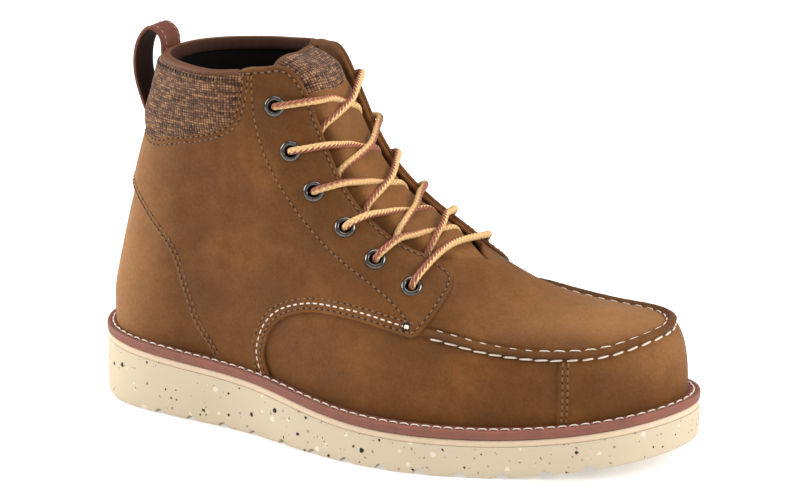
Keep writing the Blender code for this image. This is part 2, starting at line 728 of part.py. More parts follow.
def tube(name, route, material, collection):
    """A round cord along a smooth curve through points."""
    curve, chord = chord_spline(np.asarray(route))
    path = curve(np.linspace(0, chord[-1], LACE_POINTS))
    along = unit(np.gradient(path, axis=0))
    side = unit(np.cross(along, [0.3, 0.0, 1.0]))
    up = np.cross(side, along)
    turn = np.arange(LACE_SIDES) * 2 * np.pi / LACE_SIDES
    sections = [p + LACE_DIAMETER / 2 * (np.outer(np.cos(turn), a) + np.outer(np.sin(turn), b))
                for p, a, b in zip(path, side, up)]
    return swept(name, sections, material, collection)


def throat_station(place):
    """Station of the throat's edge that lies nearest to a place."""
    stations = np.linspace(THROAT_HEAD, QUARTER_END, 400)
    return stations[np.argmin(np.linalg.norm(top_curve(stations) - place, axis=1))]


def lace_start(place, edge, out):
    """Two points over the facing: beside the eyelet's flange, and above the throat's edge."""
    toward = unit(edge - place)
    return [place + toward * (EYELET_FLANGE + LACE_DIAMETER / 2 + GAP) + out, edge + out]


def strand(high, low, sign):
    """One strand: from an eyelet over its facing, across the tongue and down to the other facing."""
    s, t = high
    place = wall_point(s if sign < 0 else RING - s, t, 0.0)
    out = wall_point(s if sign < 0 else RING - s, t, LACE_OVER) - place
    s_a = throat_station(wall_point(s, t, 0.0))
    s_b = throat_station(wall_point(*low, 0.0))

    def between(share):
        return s_a + share * (s_b - s_a)

    half_a, half_b = throat_section(between(0.2))[1], throat_section(between(0.9))[1]
    edge = over_throat(between(0.2), sign * (half_a + 0.5), 0.0)[0]
    across = [(0.40, half_a / 2, (LACE_OVER + LACE_REST) / 2), (0.55, 0.0, LACE_REST),
              (0.70, -half_b / 2, LACE_REST), (0.85, -half_b + LACE_DIAMETER, LACE_REST)]
    return np.array(lace_start(place, edge, out)
                    + [over_throat(between(share), sign * w, h)[0] for share, w, h in across])


def make_laces(parts, cutters):
    cord = material_of("lace_cord", (0.62, 0.36, 0.12), 0.8)
    places = eyelet_places()
    for number, (high, low) in enumerate(zip(places[:-1], places[1:]), 1):
        first = tube(f"lace_cross_{number}", strand(high, low, -1), cord, parts)
        second = hide_cutter(tube(f"lace_strand_{number}", strand(high, low, 1), None, cutters))
        boolean(first, "UNION", second)
    s, t = places[-1]
    station = throat_station(wall_point(s, t, 0.0))
    ends = []
    for sign, side, lead in ((-1, s, 0.0), (1, RING - s, BAR_LEAD)):
        place = wall_point(side, t, 0.0)
        edge = over_throat(station + lead, sign * throat_section(station + lead)[1], 0.0)[0]
        ends.append(lace_start(place, edge, wall_point(side, t, BAR_OVER) - place))
    middle = over_throat(station + BAR_LEAD, 0.0, LACE_DIAMETER / 2 + LACE_LIFT)
    tube("lace_bar", np.array([*ends[0], *middle, *ends[1][::-1]]), cord, parts)


def main():
    for obj in list(bpy.data.objects):
        bpy.data.objects.remove(obj, do_unlink=True)
    parts = bpy.data.collections.new("moc_toe_work_boot")
    cutters = bpy.data.collections.new("cutters")
    for collection in (parts, cutters):
        bpy.context.scene.collection.children.link(collection)
    holes = eyelet_holes(cutters)
    make_outsole(parts, cutters)
    make_midsole(parts)
    make_welt(parts)
    make_insole(parts)
    make_upper(parts, holes)
    make_quarter("lateral", parts, cutters, holes)
    make_quarter("medial", parts, cutters, holes)
    make_cuff(parts, cutters)
    make_binding(parts)
    make_tongue(parts)
    make_loop(parts)
    make_eyelets(parts)
    make_laces(parts, cutters)


main()
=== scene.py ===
"""Looks of the moc toe work boot: finishes, seams, stitches, lace and stage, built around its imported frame.

The last is the part's surface, from the same tables in the same millimetres (+X to the toe, -Y to the outer
side, +Z up). Only its top edge is raised a little beside the collar's binding. Station s runs round the boot
from the back of the heel, and level t from the welt to the top edge. Each piece is drawn on the last again
with fine sections, panel edges and sewn seams.
"""

import math
from collections import namedtuple

import bmesh
import bpy
import numpy as np
from mathutils import Matrix, Vector, geometry, kdtree, noise


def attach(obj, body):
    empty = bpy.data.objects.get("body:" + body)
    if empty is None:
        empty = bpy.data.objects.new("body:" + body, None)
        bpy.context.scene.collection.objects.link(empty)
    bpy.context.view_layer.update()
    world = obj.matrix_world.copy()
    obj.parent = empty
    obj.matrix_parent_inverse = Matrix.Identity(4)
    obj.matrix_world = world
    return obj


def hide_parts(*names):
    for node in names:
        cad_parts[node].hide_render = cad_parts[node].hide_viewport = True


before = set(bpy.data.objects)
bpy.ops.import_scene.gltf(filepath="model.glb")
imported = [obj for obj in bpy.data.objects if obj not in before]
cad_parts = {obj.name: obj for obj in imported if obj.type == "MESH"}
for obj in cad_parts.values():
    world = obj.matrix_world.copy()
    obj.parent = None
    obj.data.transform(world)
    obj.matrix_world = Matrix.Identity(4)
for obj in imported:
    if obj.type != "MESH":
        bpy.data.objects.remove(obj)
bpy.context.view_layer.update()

bl_info = {
    "name": "Moc toe work boot",
    "version": (1, 0, 0),
    "blender": (4, 5, 0),
    "location": "View3D > Sidebar > Boot",
    "description": "Dresses the packed frame of a moc toe work boot in leather, knit, thread and rubber",
    "category": "Add Mesh",
}

MM = 0.001
METRE = 1000.0            # in millimetres
BODY = "root"
SIDES = ("lateral", "medial")

# Sizes of sole and wall in millimetres, as in the part. Only the lug slots are larger, as photographed.
GAP = 0.35
LEATHER = 2.4
OVERLAY = 1.5
WELT_HEIGHT = 4.2
MIDSOLE_HEIGHT = 3.0
TREAD_FLAT_END = 230.0
TOE_SPRING = 13.0
TOE_SPRING_POWER = 1.6
HEEL_ROUND_START = 30.0
HEEL_ROUND_RISE = 5.5
HEEL_ROUND_POWER = 2.5
LUG_PITCH = 18.5
LUG_FIRST = 53.5
LUG_COUNT = 13
LUG_SLOT_WIDTH = 6.0
LUG_SLOT_HEIGHT = 2.9
LUG_SLOT_DEPTH = 22.0
RAND_HEIGHT = 5.2
BELLY_HEIGHT = 20.0

Edge = namedtuple("Edge", "x lateral medial welt swell tread")
SOLE_EDGE = [
    Edge(7.7, -5.0, -5.0, 4.6, 0.0, -0.5),
    Edge(18.0, -32.0, 22.0, 4.8, 0.3, 0.0),
    Edge(46.0, -45.0, 35.0, 5.5, 1.0, 1.2),
    Edge(85.0, -48.5, 33.5, 6.5, 1.2, 1.0),
    Edge(115.0, -53.0, 33.0, 6.5, 1.2, 0.5),
    Edge(140.0, -59.0, 35.0, 6.5, 1.2, -0.5),
    Edge(168.0, -63.0, 42.0, 6.5, 1.2, -1.0),
    Edge(195.0, -62.5, 49.5, 6.5, 1.2, -1.0),
    Edge(220.0, -57.0, 54.0, 6.5, 1.0, -0.5),
    Edge(247.0, -48.0, 54.5, 6.5, 0.8, 0.5),
    Edge(276.0, -36.5, 46.5, 6.5, 0.2, 1.0),
    Edge(298.5, -21.0, 30.5, 6.8, -0.4, 0.5),
    Edge(310.5, 4.5, 4.5, 7.0, -0.6, 0.5),
]
Level = namedtuple("Level", "x z lateral medial")
SHOULDER = [
    Level(14.0, 65.0, -5.0, -5.0),
    Level(22.5, 65.0, -27.0, 17.0),
    Level(47.0, 65.0, -38.0, 28.0),
    Level(84.0, 65.5, -41.5, 30.0),
    Level(112.0, 65.5, -44.5, 31.5),
    Level(136.0, 65.0, -47.5, 33.5),
    Level(163.0, 64.0, -49.5, 37.0),
    Level(190.0, 62.5, -49.0, 41.0),
    Level(214.0, 60.2, -46.0, 44.0),
    Level(238.0, 57.8, -39.5, 44.5),
    Level(265.0, 58.3, -28.5, 38.5),
    Level(286.5, 61.8, -15.0, 27.0),
    Level(296.0, 64.8, 4.5, 4.5),
]
CROWN = [
    Level(27.5, 120.0, -2.0, -2.0),
    Level(32.5, 120.0, -20.0, 16.0),
    Level(51.0, 121.0, -32.0, 28.5),
    Level(82.0, 122.5, -37.0, 34.0),
    Level(104.0, 123.0, -38.5, 35.5),
    Level(122.0, 120.0, -38.5, 35.5),
    Level(145.0, 108.0, -37.0, 34.0),
    Level(176.0, 89.5, -36.0, 33.0),
    Level(203.0, 77.8, -32.5, 30.0),
    Level(227.0, 71.8, -23.0, 24.0),
    Level(251.0, 68.8, -13.0, 20.0),
    Level(270.0, 67.8, -3.0, 14.0),
    Level(278.5, 67.8, 4.5, 4.5),
]
TOP = [
    Level(42.0, 168.0, 0.0, 0.0),
    Level(46.5, 168.0, -17.5, 17.5),
    Level(60.5, 167.9, -30.5, 30.5),
    Level(82.0, 167.8, -38.5, 38.5),
    Level(104.0, 173.6, -33.5, 33.5),
    Level(123.5, 168.7, -26.5, 20.5),
    Level(144.0, 125.0, -26.7, 23.5),
    Level(174.0, 98.0, -27.0, 26.5),
    Level(196.0, 89.5, -16.0, 16.0),
    Level(208.0, 86.5, 0.0, 0.0),
    Level(233.0, 75.5, 1.0, 1.0),
    Level(254.0, 70.8, 3.0, 3.0),
    Level(263.0, 69.6, 4.0, 4.0),
]
Height = namedtuple("Height", "x z")
SOLE_TOP = [
    Height(0.0, 34.0),
    Height(30.0, 31.8),
    Height(70.0, 29.2),
    Height(115.0, 26.0),
    Height(160.0, 19.8),
    Height(200.0, 18.4),
    Height(240.0, 19.2),
    Height(275.0, 23.5),
    Height(311.0, 31.0),
]

# Panel edges, eyelets and the pull loop, seen from the side.
COUNTER_SEAM = [(-10, 112), (22, 109), (31, 104.5), (38.7, 98.4), (45.7, 91.8), (55.2, 83.3), (60.4, 75.9),
                (64.4, 67), (68.7, 57.7), (73.1, 49.3), (79.1, 40.8), (83.5, 34), (92, 20)]
WING_EDGE = [(120, 20), (116.2, 32.7), (114.3, 39.1), (115.6, 46.6), (118.4, 53.3), (123.2, 58.7),
             (130, 62.2), (138.7, 64.6), (147.7, 65.2), (158.8, 64.8), (169.4, 63.9), (179.6, 62.2),
             (190.5, 60.6)]
TAB_EDGE = [(190.5, 60.6), (193.6, 60.9), (195.8, 63), (198.8, 67), (201.2, 72), (202.5, 77), (202.3, 80.5),
            (200.4, 83.5), (195.4, 87), (188, 91.5), (180, 95.6)]
CUFF_LINE = [(-10, 146), (31, 142), (35.9, 137.6), (41.4, 135.2), (46, 134.6), (57.1, 137.2), (72.7, 141),
             (85.5, 145.3), (90.8, 148.6), (94, 154.4), (95.8, 164.5), (96.4, 172)]
EYESTAY_LINE = [(101.9, 171.5), (103.6, 154.8), (109.3, 136.8), (122.2, 117.1), (136.4, 102.2),
                (155.1, 89.1), (177.3, 76.2), (188.6, 67.6)]
EYELETS = [(113.4, 157), (122.4, 137), (134.8, 119.3), (151.4, 104.2), (168, 91.5), (186.7, 81)]
LOOP_PATH = [(34.5, 131.5), (29.3, 138), (25.2, 147), (22.4, 157), (22.4, 168), (25.8, 177), (31.0, 181),
             (35.6, 179), (37.6, 175), (37.8, 170.5), (38.6, 165)]

STATIONS = len(SOLE_EDGE)
RING = 2 * (STATIONS - 1)
TOE = STATIONS - 1
RIDGE_START = 9           # station from which both sides of the wall meet in a ridge
CLOSE_START = 7.6         # station from which the open wall begins to bend over towards the ridge
TOP_LEVEL = 5
SEAM_LEVEL = 3
THROAT_HEAD = 5.05        # stations of the throat's top and of the quarters' front end
QUARTER_END = 8.7
STEP = 1e-3               # for slopes: of a station or of a millimetre
TINY = 1e-12
MERGE_DISTANCE = 1e-6     # in metres
NEWTON_ROUNDS = 6
SLIDE_LIMIT = 0.3         # largest step of a round, in stations and levels: for a move, and for a place
PLACE_LIMIT = 0.1
LINE_STEP = 1.0           # between the points of a drawn line
LINE_MISS = 0.6           # how far a point of it may lie off the last's side view
BACK_STATION = 0.45       # station up to which a line from the back centre is bowed, and its points there
BACK_POINTS = 12
FACING_LEVELS = np.array([4.0, 4.25, 4.5, 4.75, 5.0])

# Moccasin seam round the toe: a rib of two raised edges between grooves, in millimetres, the stations that it
# fades in at, and how far it lies above its level at each station.
SEAM_HEIGHT = 3.1
SEAM_HALF = 1.9
SEAM_SHOULDER = 0.9
SEAM_START = 7.1
SEAM_FADE = 0.6
SEAM_PUCKER = 0.10        # share of its height that the stitches draw in, and its tilt for each millimetre
SEAM_TILT = 0.05
GROOVE_DEPTH = 0.55
GROOVE_PLACE = 0.7
GROOVE_WIDTH = 0.9
MOC_PITCH = 7.0
SEAM_SHIFT = [(7.0, 2.2), (7.45, 1.9), (8.0, 1.0), (8.5, 0.1), (8.85, -0.3), (9.3, -1.0), (9.6, -1.4),
              (10.2, -1.7), (10.6, -1.0), (11.0, 0.0), (11.5, 0.4), (12.0, 0.6), (12.5, 1.6), (13.0, 3.3),
              (13.5, 5.2), (14.0, 6.6), (14.5, 7.5), (15.0, 8.0), (15.5, 7.4), (16.0, 5.6), (17.0, 3.0)]
TOE_SEAM = 9.48           # station of the side seam in front of which the toe piece lies on top
TOE_STEP = 1.1
TOE_STEP_WIDTH = 0.55
TOE_LEAN = 0.2            # how far that seam leans forward, from which level, and over how many levels
TOE_LEAN_START = 1.7
TOE_LEAN_REACH = 1.1

# Tongue, binding and loop.
TONGUE_FOOT = 8.8
TONGUE_THICK = 2.6
TONGUE_RISE = 4.0
TONGUE_FULL_WIDTH = 47.0
TONGUE_TUCK = 8.0
TONGUE_DROP = 7.0         # how much deeper the tongue lies under the facings than in the middle
TONGUE_DROP_START = 0.35  # share of the throat's half width at which it begins to fall away
TONGUE_DROP_REACH = 0.75
TONGUE_OUT = 18.0
TONGUE_LEAN = np.array([-0.98, 0.0, 0.2])
TONGUE_TOE = np.array([7.0, 0.0, -4.2])
TONGUE_GAP = 0.8
TONGUE_KNIT = 28.5        # length of its knitted top
BINDING_END = 3.62        # station at which it goes in behind the eyestay, and how far it goes on there
BINDING_HIDDEN = 0.25
CREST_Z = 172.6           # height of the collar's edge, and how much it climbs at the eyestays
CREST_RISE = 0.9
LOOP_WIDTH = 16.0
LOOP_THICK = 2.2
EYELET_SEAT = GAP + OVERLAY


def linear(code):
    """An sRGB hex colour as linear red, green and blue."""
    parts = [int(code[i:i + 2], 16) / 255 for i in (1, 3, 5)]
    return tuple(c / 12.92 if c <= 0.04045 else ((c + 0.055) / 1.055) ** 2.4 for c in parts)


def length(name, description, default):
    """A length in metres for a user to change."""
    return bpy.props.FloatProperty(name=name, description=description, default=default, unit="LENGTH")


def colour_of(name, description, code):
    """A colour for a user to change, from its sRGB hex code."""
    return bpy.props.FloatVectorProperty(name=name, description=description, default=linear(code), size=3,
                                         subtype="COLOR")


class BootSizes(bpy.types.PropertyGroup):
    """Sizes of the finish."""
    lace: length("Lace", "Diameter of the lace", 0.0034)
    thread: length("Thread", "Thickness of the seam thread", 0.0009)
    stitch: length("Stitch", "Pitch of the fine seams", 0.0033)
    knit: length("Knit", "Width of one knitted loop", 0.00135)
    speck: length("Speck", "Size of the specks in the sole", 0.0042)


class BootColours(bpy.types.PropertyGroup):
    """Colours of the finish."""
    leather: colour_of("Leather", "Nubuck of the upper", "#694019")
    rubber: colour_of("Rubber", "Foamed rubber of the sole", "#c6b69b")
    midsole: colour_of("Midsole", "Pale layer under the welt", "#d3bca0")
    welt: colour_of("Welt", "Reddish leather of the welt", "#7e4c3d")
    trim: colour_of("Trim", "Smooth leather of the binding and the tongue's edge", "#5c3823")
    # Inner leather: a dark colour as painted shade on the binding's inside and the loop's inner face.
    inner: colour_of("Inner leather", "Dark leather inside binding and loop", "#37231a")
    lace: colour_of("Lace", "Yellow yarns of the lace", "#d3a56b")
    fleck: colour_of("Lace fleck", "Red yarns of the lace", "#884a30")
    white_thread: colour_of("White thread", "Thick thread of welt, wings and moccasin seam", "#e2d5c5")
    brown_thread: colour_of("Brown thread", "Fine thread of the panel seams", "#785433")
    loop: colour_of("Loop", "Reddish leather of the pull loop", "#63392a")


# The last.

def ring_of(table, *columns):
    """A closed ring of rows: outer side from heel to toe, then the inner side back."""
    outer = [[getattr(row, c.replace("side", "lateral")) for c in columns] for row in table]
    inner = [[getattr(row, c.replace("side", "medial")) for c in columns] for row in table[-2:0:-1]]
    return np.array(outer + inner, float)


def periodic_spline(points):
    """Cubic curve through a closed ring of points, with one unit of parameter from point to point."""
    count = len(points)
    one = np.eye(count)
    matrix = 4 * one + np.roll(one, 1, 0) + np.roll(one, -1, 0)
    bend = np.linalg.solve(matrix, 6 * (np.roll(points, -1, 0) - 2 * points + np.roll(points, 1, 0)))

    def at(s):
        s = np.mod(np.asarray(s, float), count)
        i = np.floor(s).astype(int) % count
        j = (i + 1) % count
        f = (s - np.floor(s))[:, None]
        g = 1 - f
        return points[i] * g + points[j] * f + ((g**3 - g) * bend[i] + (f**3 - f) * bend[j]) / 6

    return at


def natural_spline(knots, points):
    """Cubic curve through points at rising knots, straight at both ends."""
    knots = np.asarray(knots, float)
    points = np.asarray(points, float)
    gap = np.diff(knots)
    count = len(knots)
    matrix = np.eye(count)
    right = np.zeros_like(points)
    for i in range(1, count - 1):
        matrix[i, i - 1:i + 2] = gap[i - 1], 2 * (gap[i - 1] + gap[i]), gap[i]
        right[i] = 6 * ((points[i + 1] - points[i]) / gap[i] - (points[i] - points[i - 1]) / gap[i - 1])
    bend = np.linalg.solve(matrix, right)

    def at(u):
        u = np.clip(np.asarray(u, float), knots[0], knots[-1])
        i = np.clip(np.searchsorted(knots, u, "right") - 1, 0, count - 2)
        h = gap[i].reshape(-1, *[1] * (points.ndim - 1))
        f = ((u - knots[i]) / gap[i]).reshape(h.shape)
        g = 1 - f
        curve = points[i] * g + points[i + 1] * f
        return curve + ((g**3 - g) * bend[i] + (f**3 - f) * bend[i + 1]) * h**2 / 6

    return at


edge_curve = periodic_spline(ring_of(SOLE_EDGE, "x", "side"))
welt_curve = periodic_spline(ring_of(SOLE_EDGE, "welt"))
swell_curve = periodic_spline(ring_of(SOLE_EDGE, "swell"))
tread_curve = periodic_spline(ring_of(SOLE_EDGE, "tread"))
shoulder_curve = periodic_spline(ring_of(SHOULDER, "x", "side", "z"))
crown_curve = periodic_spline(ring_of(CROWN, "x", "side", "z"))
top_curve = periodic_spline(ring_of(TOP, "x", "side", "z"))
sole_top = natural_spline([row.x for row in SOLE_TOP], [row.z for row in SOLE_TOP])
outline = edge_curve(np.linspace(0, RING, 721))
ORIGIN = np.append((outline.min(0) + outline.max(0)) / 2, 0.0)
HEEL_X = outline[:, 0].min()
TOE_X = outline[:, 0].max()


def ground(x):
    """Height of the tread: flat, with the toe sprung and the heel rounded."""
    toe = np.clip((x - TREAD_FLAT_END) / (TOE_X - TREAD_FLAT_END), 0, 1)
    heel = np.clip((HEEL_ROUND_START - x) / (HEEL_ROUND_START - HEEL_X), 0, 1)
    return TOE_SPRING * toe**TOE_SPRING_POWER + HEEL_ROUND_RISE * heel**HEEL_ROUND_POWER


def edge_normals(s):
    """Unit vectors that point out of the sole's outline."""
    along = edge_curve(s + STEP) - edge_curve(s - STEP)
    normal = np.stack([along[:, 1], -along[:, 0]], -1)
    return normal / np.linalg.norm(normal, axis=1)[:, None]


def edge_ring(s, drawn_in):
    """The sole's outline drawn in by so many millimetres."""
    return edge_curve(s) - edge_normals(s) * np.reshape(drawn_in, (-1, 1))


def on_ridge(s):
    """True in front of the throat, where both sides of the wall meet."""
    return np.abs(np.mod(s, RING) - TOE) <= TOE - RIDGE_START


def level_lines(s):
    """The six lines that the wall passes through, from the welt to the top edge: levels x columns x 3."""
    foot = edge_ring(s, welt_curve(s))
    belly = edge_ring(s, welt_curve(s) - swell_curve(s))
    rest = sole_top(foot[:, 0])
    feather = np.column_stack([foot, rest])
    rand = np.column_stack([foot, rest + RAND_HEIGHT])
    belly = np.column_stack([belly, rest + BELLY_HEIGHT])
    top = top_curve(s)
    closed = on_ridge(s)
    top[closed] = (top[closed] + top_curve(RING - s[closed])) / 2
    return np.stack([feather, rand, belly, shoulder_curve(s), crown_curve(s), top])


def run_along(points):
    """Distance of each point of a line along it."""
    return np.append(0, np.cumsum(np.linalg.norm(np.diff(points, axis=0), axis=1)))


def chord_spline(points):
    """Smooth curve through points, and the distance of each of them along it."""
    points = np.asarray(points, float)
    chord = run_along(points)
    return natural_spline(chord, points), chord


def smooth(x):
    """Rises with x from 0 to 1, level at both ends."""
    x = np.clip(x, 0, 1)
    return x * x * (3 - 2 * x)


def fade(x, start, end):
    """Rises smoothly from 0 where x is start to 1 where it is end."""
    return smooth((x - start) / (end - start))


def wall(s, t):
    """Points of the last's surface: rows of levels t by columns s."""
    lines = level_lines(s)
    mirror = level_lines(np.mod(RING - s, RING))
    closing = smooth((TOE - CLOSE_START - np.abs(np.mod(s, RING) - TOE)) / (RIDGE_START - CLOSE_START))
    out = np.zeros((len(t), len(s), 3))
    for column in range(len(s)):
        near, far = lines[:, column], mirror[::-1, column]
        if on_ridge(s[column]):
            far = far[1:]
        for points, share in ((near, 1 - closing[column]), (np.concatenate([near, far]), closing[column])):
            if share > 0:
                curve, chord = chord_spline(points)
                out[:, column] += share * curve(np.interp(t, np.arange(len(points)), chord))
    return out


def unit(vectors):
    """Vectors brought to length 1."""
    return vectors / np.maximum(np.linalg.norm(vectors, axis=-1, keepdims=True), TINY)


# A fine lattice of the last, read between its points wherever a piece needs the surface.
PER_STATION = 30
PER_LEVEL = 40
LATTICE_S = np.arange(RING * PER_STATION + 1) / PER_STATION
LATTICE_T = np.arange(TOP_LEVEL * PER_LEVEL + 1) / PER_LEVEL
SURFACE = wall(LATTICE_S, LATTICE_T)
# The quarters' top edge is raised beside the binding's ends, so that it runs level to the eyestays: by how
# much, over which levels, and the stations from the back between which the rise begins and ends.
EDGE_RISE = 2.0
EDGE_RISE_LEVELS = (4.7, 5.0)
EDGE_RISE_BEGINS = (3.5, 3.72)
EDGE_RISE_ENDS = (4.25, 3.75)
FROM_BACK = np.minimum(LATTICE_S, RING - LATTICE_S)
EDGE_SHAPE = fade(FROM_BACK, *EDGE_RISE_BEGINS) * fade(FROM_BACK, *EDGE_RISE_ENDS)
SURFACE[..., 2] += EDGE_RISE * np.outer(fade(LATTICE_T, *EDGE_RISE_LEVELS), EDGE_SHAPE)
WRAPPED = np.concatenate([SURFACE[:, -2:-1], SURFACE, SURFACE[:, 1:2]], 1)
ALONG = (WRAPPED[:, 2:] - WRAPPED[:, :-2]) * PER_STATION / 2
UP = np.gradient(SURFACE, axis=0) * PER_LEVEL
NORMAL = unit(np.cross(ALONG, UP))
HEIGHT_RUN = np.cumsum(np.linalg.norm(np.diff(SURFACE, axis=0, prepend=SURFACE[:1]), axis=-1), axis=0)
FROM_SEAM = (HEIGHT_RUN - HEIGHT_RUN[SEAM_LEVEL * PER_LEVEL])[..., None]


def read(lattice, s, t):
    """Values of a lattice of the last at stations s and levels t."""
    u = np.mod(np.asarray(s, float), RING) * PER_STATION
    v = np.clip(np.asarray(t, float), 0, TOP_LEVEL) * PER_LEVEL
    i = np.clip(np.floor(u).astype(int), 0, len(LATTICE_S) - 2)
    j = np.clip(np.floor(v).astype(int), 0, len(LATTICE_T) - 2)
    f = (u - i)[..., None]
    g = (v - j)[..., None]
    low = lattice[j, i] * (1 - f) + lattice[j, i + 1] * f
    high = lattice[j + 1, i] * (1 - f) + lattice[j + 1, i + 1] * f
    return low * (1 - g) + high * g


def last(st, lift=0.0):
    """Points of the last at stations and levels st, moved out along the normal by lift."""
    st = np.asarray(st, float)
    s, t = st[..., 0], st[..., 1]
    out = np.broadcast_to(lift, s.shape)[..., None]
    return read(SURFACE, s, t) + unit(read(NORMAL, s, t)) * out


def slide(st, move):
    """Stations and levels after a move of so many millimetres over the surface, by Newton's method."""
    goal = last(st) + move
    for _ in range(NEWTON_ROUNDS):
        miss = goal - last(st)
        along = read(ALONG, st[:, 0], st[:, 1])
        up = read(UP, st[:, 0], st[:, 1])
        a, b, c = (along * along).sum(1), (along * up).sum(1), (up * up).sum(1)
        p, q = (along * miss).sum(1), (up * miss).sum(1)
        area = np.maximum(a * c - b * b, TINY)
        step = np.stack([(c * p - b * q) / area, (a * q - b * p) / area], -1)
        st = st + np.clip(step, -SLIDE_LIMIT, SLIDE_LIMIT)
        st[:, 1] = np.clip(st[:, 1], 0, TOP_LEVEL)
    return st


def leftward(st, closed=False):
    """Unit vectors over the surface that point to the left of a line, seen from outside."""
    points = last(st)
    if closed:
        along = np.roll(points, -1, 0) - np.roll(points, 1, 0)
    else:
        along = np.gradient(points, axis=0)
    return unit(np.cross(read(NORMAL, st[:, 0], st[:, 1]), along))


def inset(st, distance, closed=False):
    """A line on the last moved to its left by distance."""
    return slide(st, leftward(st, closed) * distance)


def spaced(st, step):
    """A line on the last with its points about step millimetres apart."""
    points = last(st)
    run = run_along(points)
    keep = np.append(True, np.diff(run) > TINY)
    at = np.linspace(0, run[-1], max(2, int(round(run[-1] / step)) + 1))
    return np.column_stack([np.interp(at, run[keep], st[keep, k]) for k in (0, 1)])


def side_tree(side):
    """Search tree of the lattice in the side view, for the outer or the inner side."""
    half = TOE * PER_STATION
    columns = range(half + 1) if side == "lateral" else range(half, 2 * half + 1)
    tree = kdtree.KDTree(len(columns) * len(LATTICE_T))
    for i in columns:
        for j in range(len(LATTICE_T)):
            tree.insert((SURFACE[j, i, 0], 0.0, SURFACE[j, i, 2]), i * len(LATTICE_T) + j)
    tree.balance()
    return tree


SIDE_TREES = {side: side_tree(side) for side in SIDES}


def on_last(xz, side):
    """Stations and levels of places in the side view, and how far off each of them stays."""
    found = [SIDE_TREES[side].find((x, 0.0, z))[1] for x, z in xz]
    st = np.array([(LATTICE_S[n // len(LATTICE_T)], LATTICE_T[n % len(LATTICE_T)]) for n in found])
    for _ in range(NEWTON_ROUNDS):
        miss = xz - read(SURFACE, st[:, 0], st[:, 1])[:, [0, 2]]
        along = read(ALONG, st[:, 0], st[:, 1])[:, [0, 2]]
        up = read(UP, st[:, 0], st[:, 1])[:, [0, 2]]
        area = along[:, 0] * up[:, 1] - along[:, 1] * up[:, 0]
        area = np.where(np.abs(area) < 1, np.sign(area) + (area == 0), area)
        step = np.stack([miss[:, 0] * up[:, 1] - miss[:, 1] * up[:, 0],
                         along[:, 0] * miss[:, 1] - along[:, 1] * miss[:, 0]], -1) / area[:, None]
        st = st + np.clip(step, -PLACE_LIMIT, PLACE_LIMIT)
        st[:, 1] = np.clip(st[:, 1], 0, TOP_LEVEL)
    miss = xz - read(SURFACE, st[:, 0], st[:, 1])[:, [0, 2]]
    return st, np.linalg.norm(miss, axis=1)


def seam_line(points, side, from_back=False):
    """Stations and levels along a smooth line of the side view, bowed in from the back centre on request."""
    curve, chord = chord_spline(points)
    xz = curve(np.linspace(0, chord[-1], int(chord[-1] / LINE_STEP) + 1))
    st, off = on_last(xz, side)
    if side == "medial":
        st[:, 0] = RING - st[:, 0]
    good = (off < LINE_MISS) & (st[:, 0] > BACK_STATION if from_back else True)
    st = st[good]
    if from_back:
        back_x = np.interp(xz[:, 1], SURFACE[:, 0, 2], SURFACE[:, 0, 0])
        z = xz[np.argmin(np.abs(xz[:, 0] - back_x)), 1]
        start = np.array([0.0, np.interp(z, SURFACE[:, 0, 2], LATTICE_T)])
        lead = np.linspace(0, 1, BACK_POINTS, endpoint=False)[:, None]
        bow = (1 - lead) ** 2 * start + 2 * lead * (1 - lead) * [st[0, 0] / 2, start[1]] + lead**2 * st[0]
        st = np.concatenate([bow, st])
    if side == "medial":
        st[:, 0] = RING - st[:, 0]
    return st


def throat_section(s):
    """Section at one station carried across the throat from its middle, and half the throat's width."""
    near, far = wall(np.array([s, RING - s]), FACING_LEVELS).transpose(1, 0, 2)
    middle = (near[-1] + far[-1]) / 2
    across = far[-1] - near[-1]
    slope = top_curve(np.array([s + STEP]))[0] - top_curve(np.array([s - STEP]))[0]
    slope[1] = 0.0
    arch = min(1, np.linalg.norm(across) / TONGUE_FULL_WIDTH) ** 3
    lift = unit(np.cross(slope, across)) * TONGUE_RISE * arch
    curve, chord = chord_spline(np.array([*near, middle + lift, *far[::-1]]))
    centre = chord[len(near)]
    return lambda w: curve(centre + np.asarray(w, float)), centre - chord[len(near) - 1]


def over_throat(s, w, lift):
    """A point s along the boot and w millimetres across from the throat's middle, lifted off the section."""
    here = throat_section(s)[0]([w])[0]
    ahead = throat_section(s + STEP)[0]([w])[0]
    beside = throat_section(s)[0]([w + STEP])[0]
    return here + unit(np.cross(ahead - here, beside - here)) * lift


def tongue_depth(w, half):
    """How deep the tongue's face lies under the section across the throat, w millimetres from its middle."""
    fall = smooth((np.abs(w) / half - TONGUE_DROP_START) / TONGUE_DROP_REACH)
    return LEATHER + TONGUE_GAP + TONGUE_DROP * fall


def throat_station(place):
    """Station of the throat's edge that lies nearest to a place."""
    stations = np.linspace(THROAT_HEAD, QUARTER_END, 400)
    return stations[np.argmin(np.linalg.norm(top_curve(stations) - place, axis=1))]


# Meshes.

def grid_faces(rows, columns, closed=False, start=0):
    """Quads over a grid of points, the last column joined to the first where it is closed."""
    index = np.arange(rows * columns).reshape(rows, columns) + start
    if closed:
        index = np.concatenate([index, index[:, :1]], 1)
    quads = np.stack([index[:-1, :-1], index[:-1, 1:], index[1:, 1:], index[1:, :-1]], -1)
    return quads.reshape(-1, 4).tolist()


def tube_faces(rows, sides, start=0):
    """Quads round a row of rings, with a cap on each end."""
    caps = [list(range(start + sides - 1, start - 1, -1)),
            list(range(start + (rows - 1) * sides, start + rows * sides))]
    return grid_faces(rows, sides, True, start) + caps


def grid_normals(points):
    """Normals over a grid of points in space."""
    return unit(np.cross(-np.gradient(points, axis=0), np.gradient(points, axis=1)))


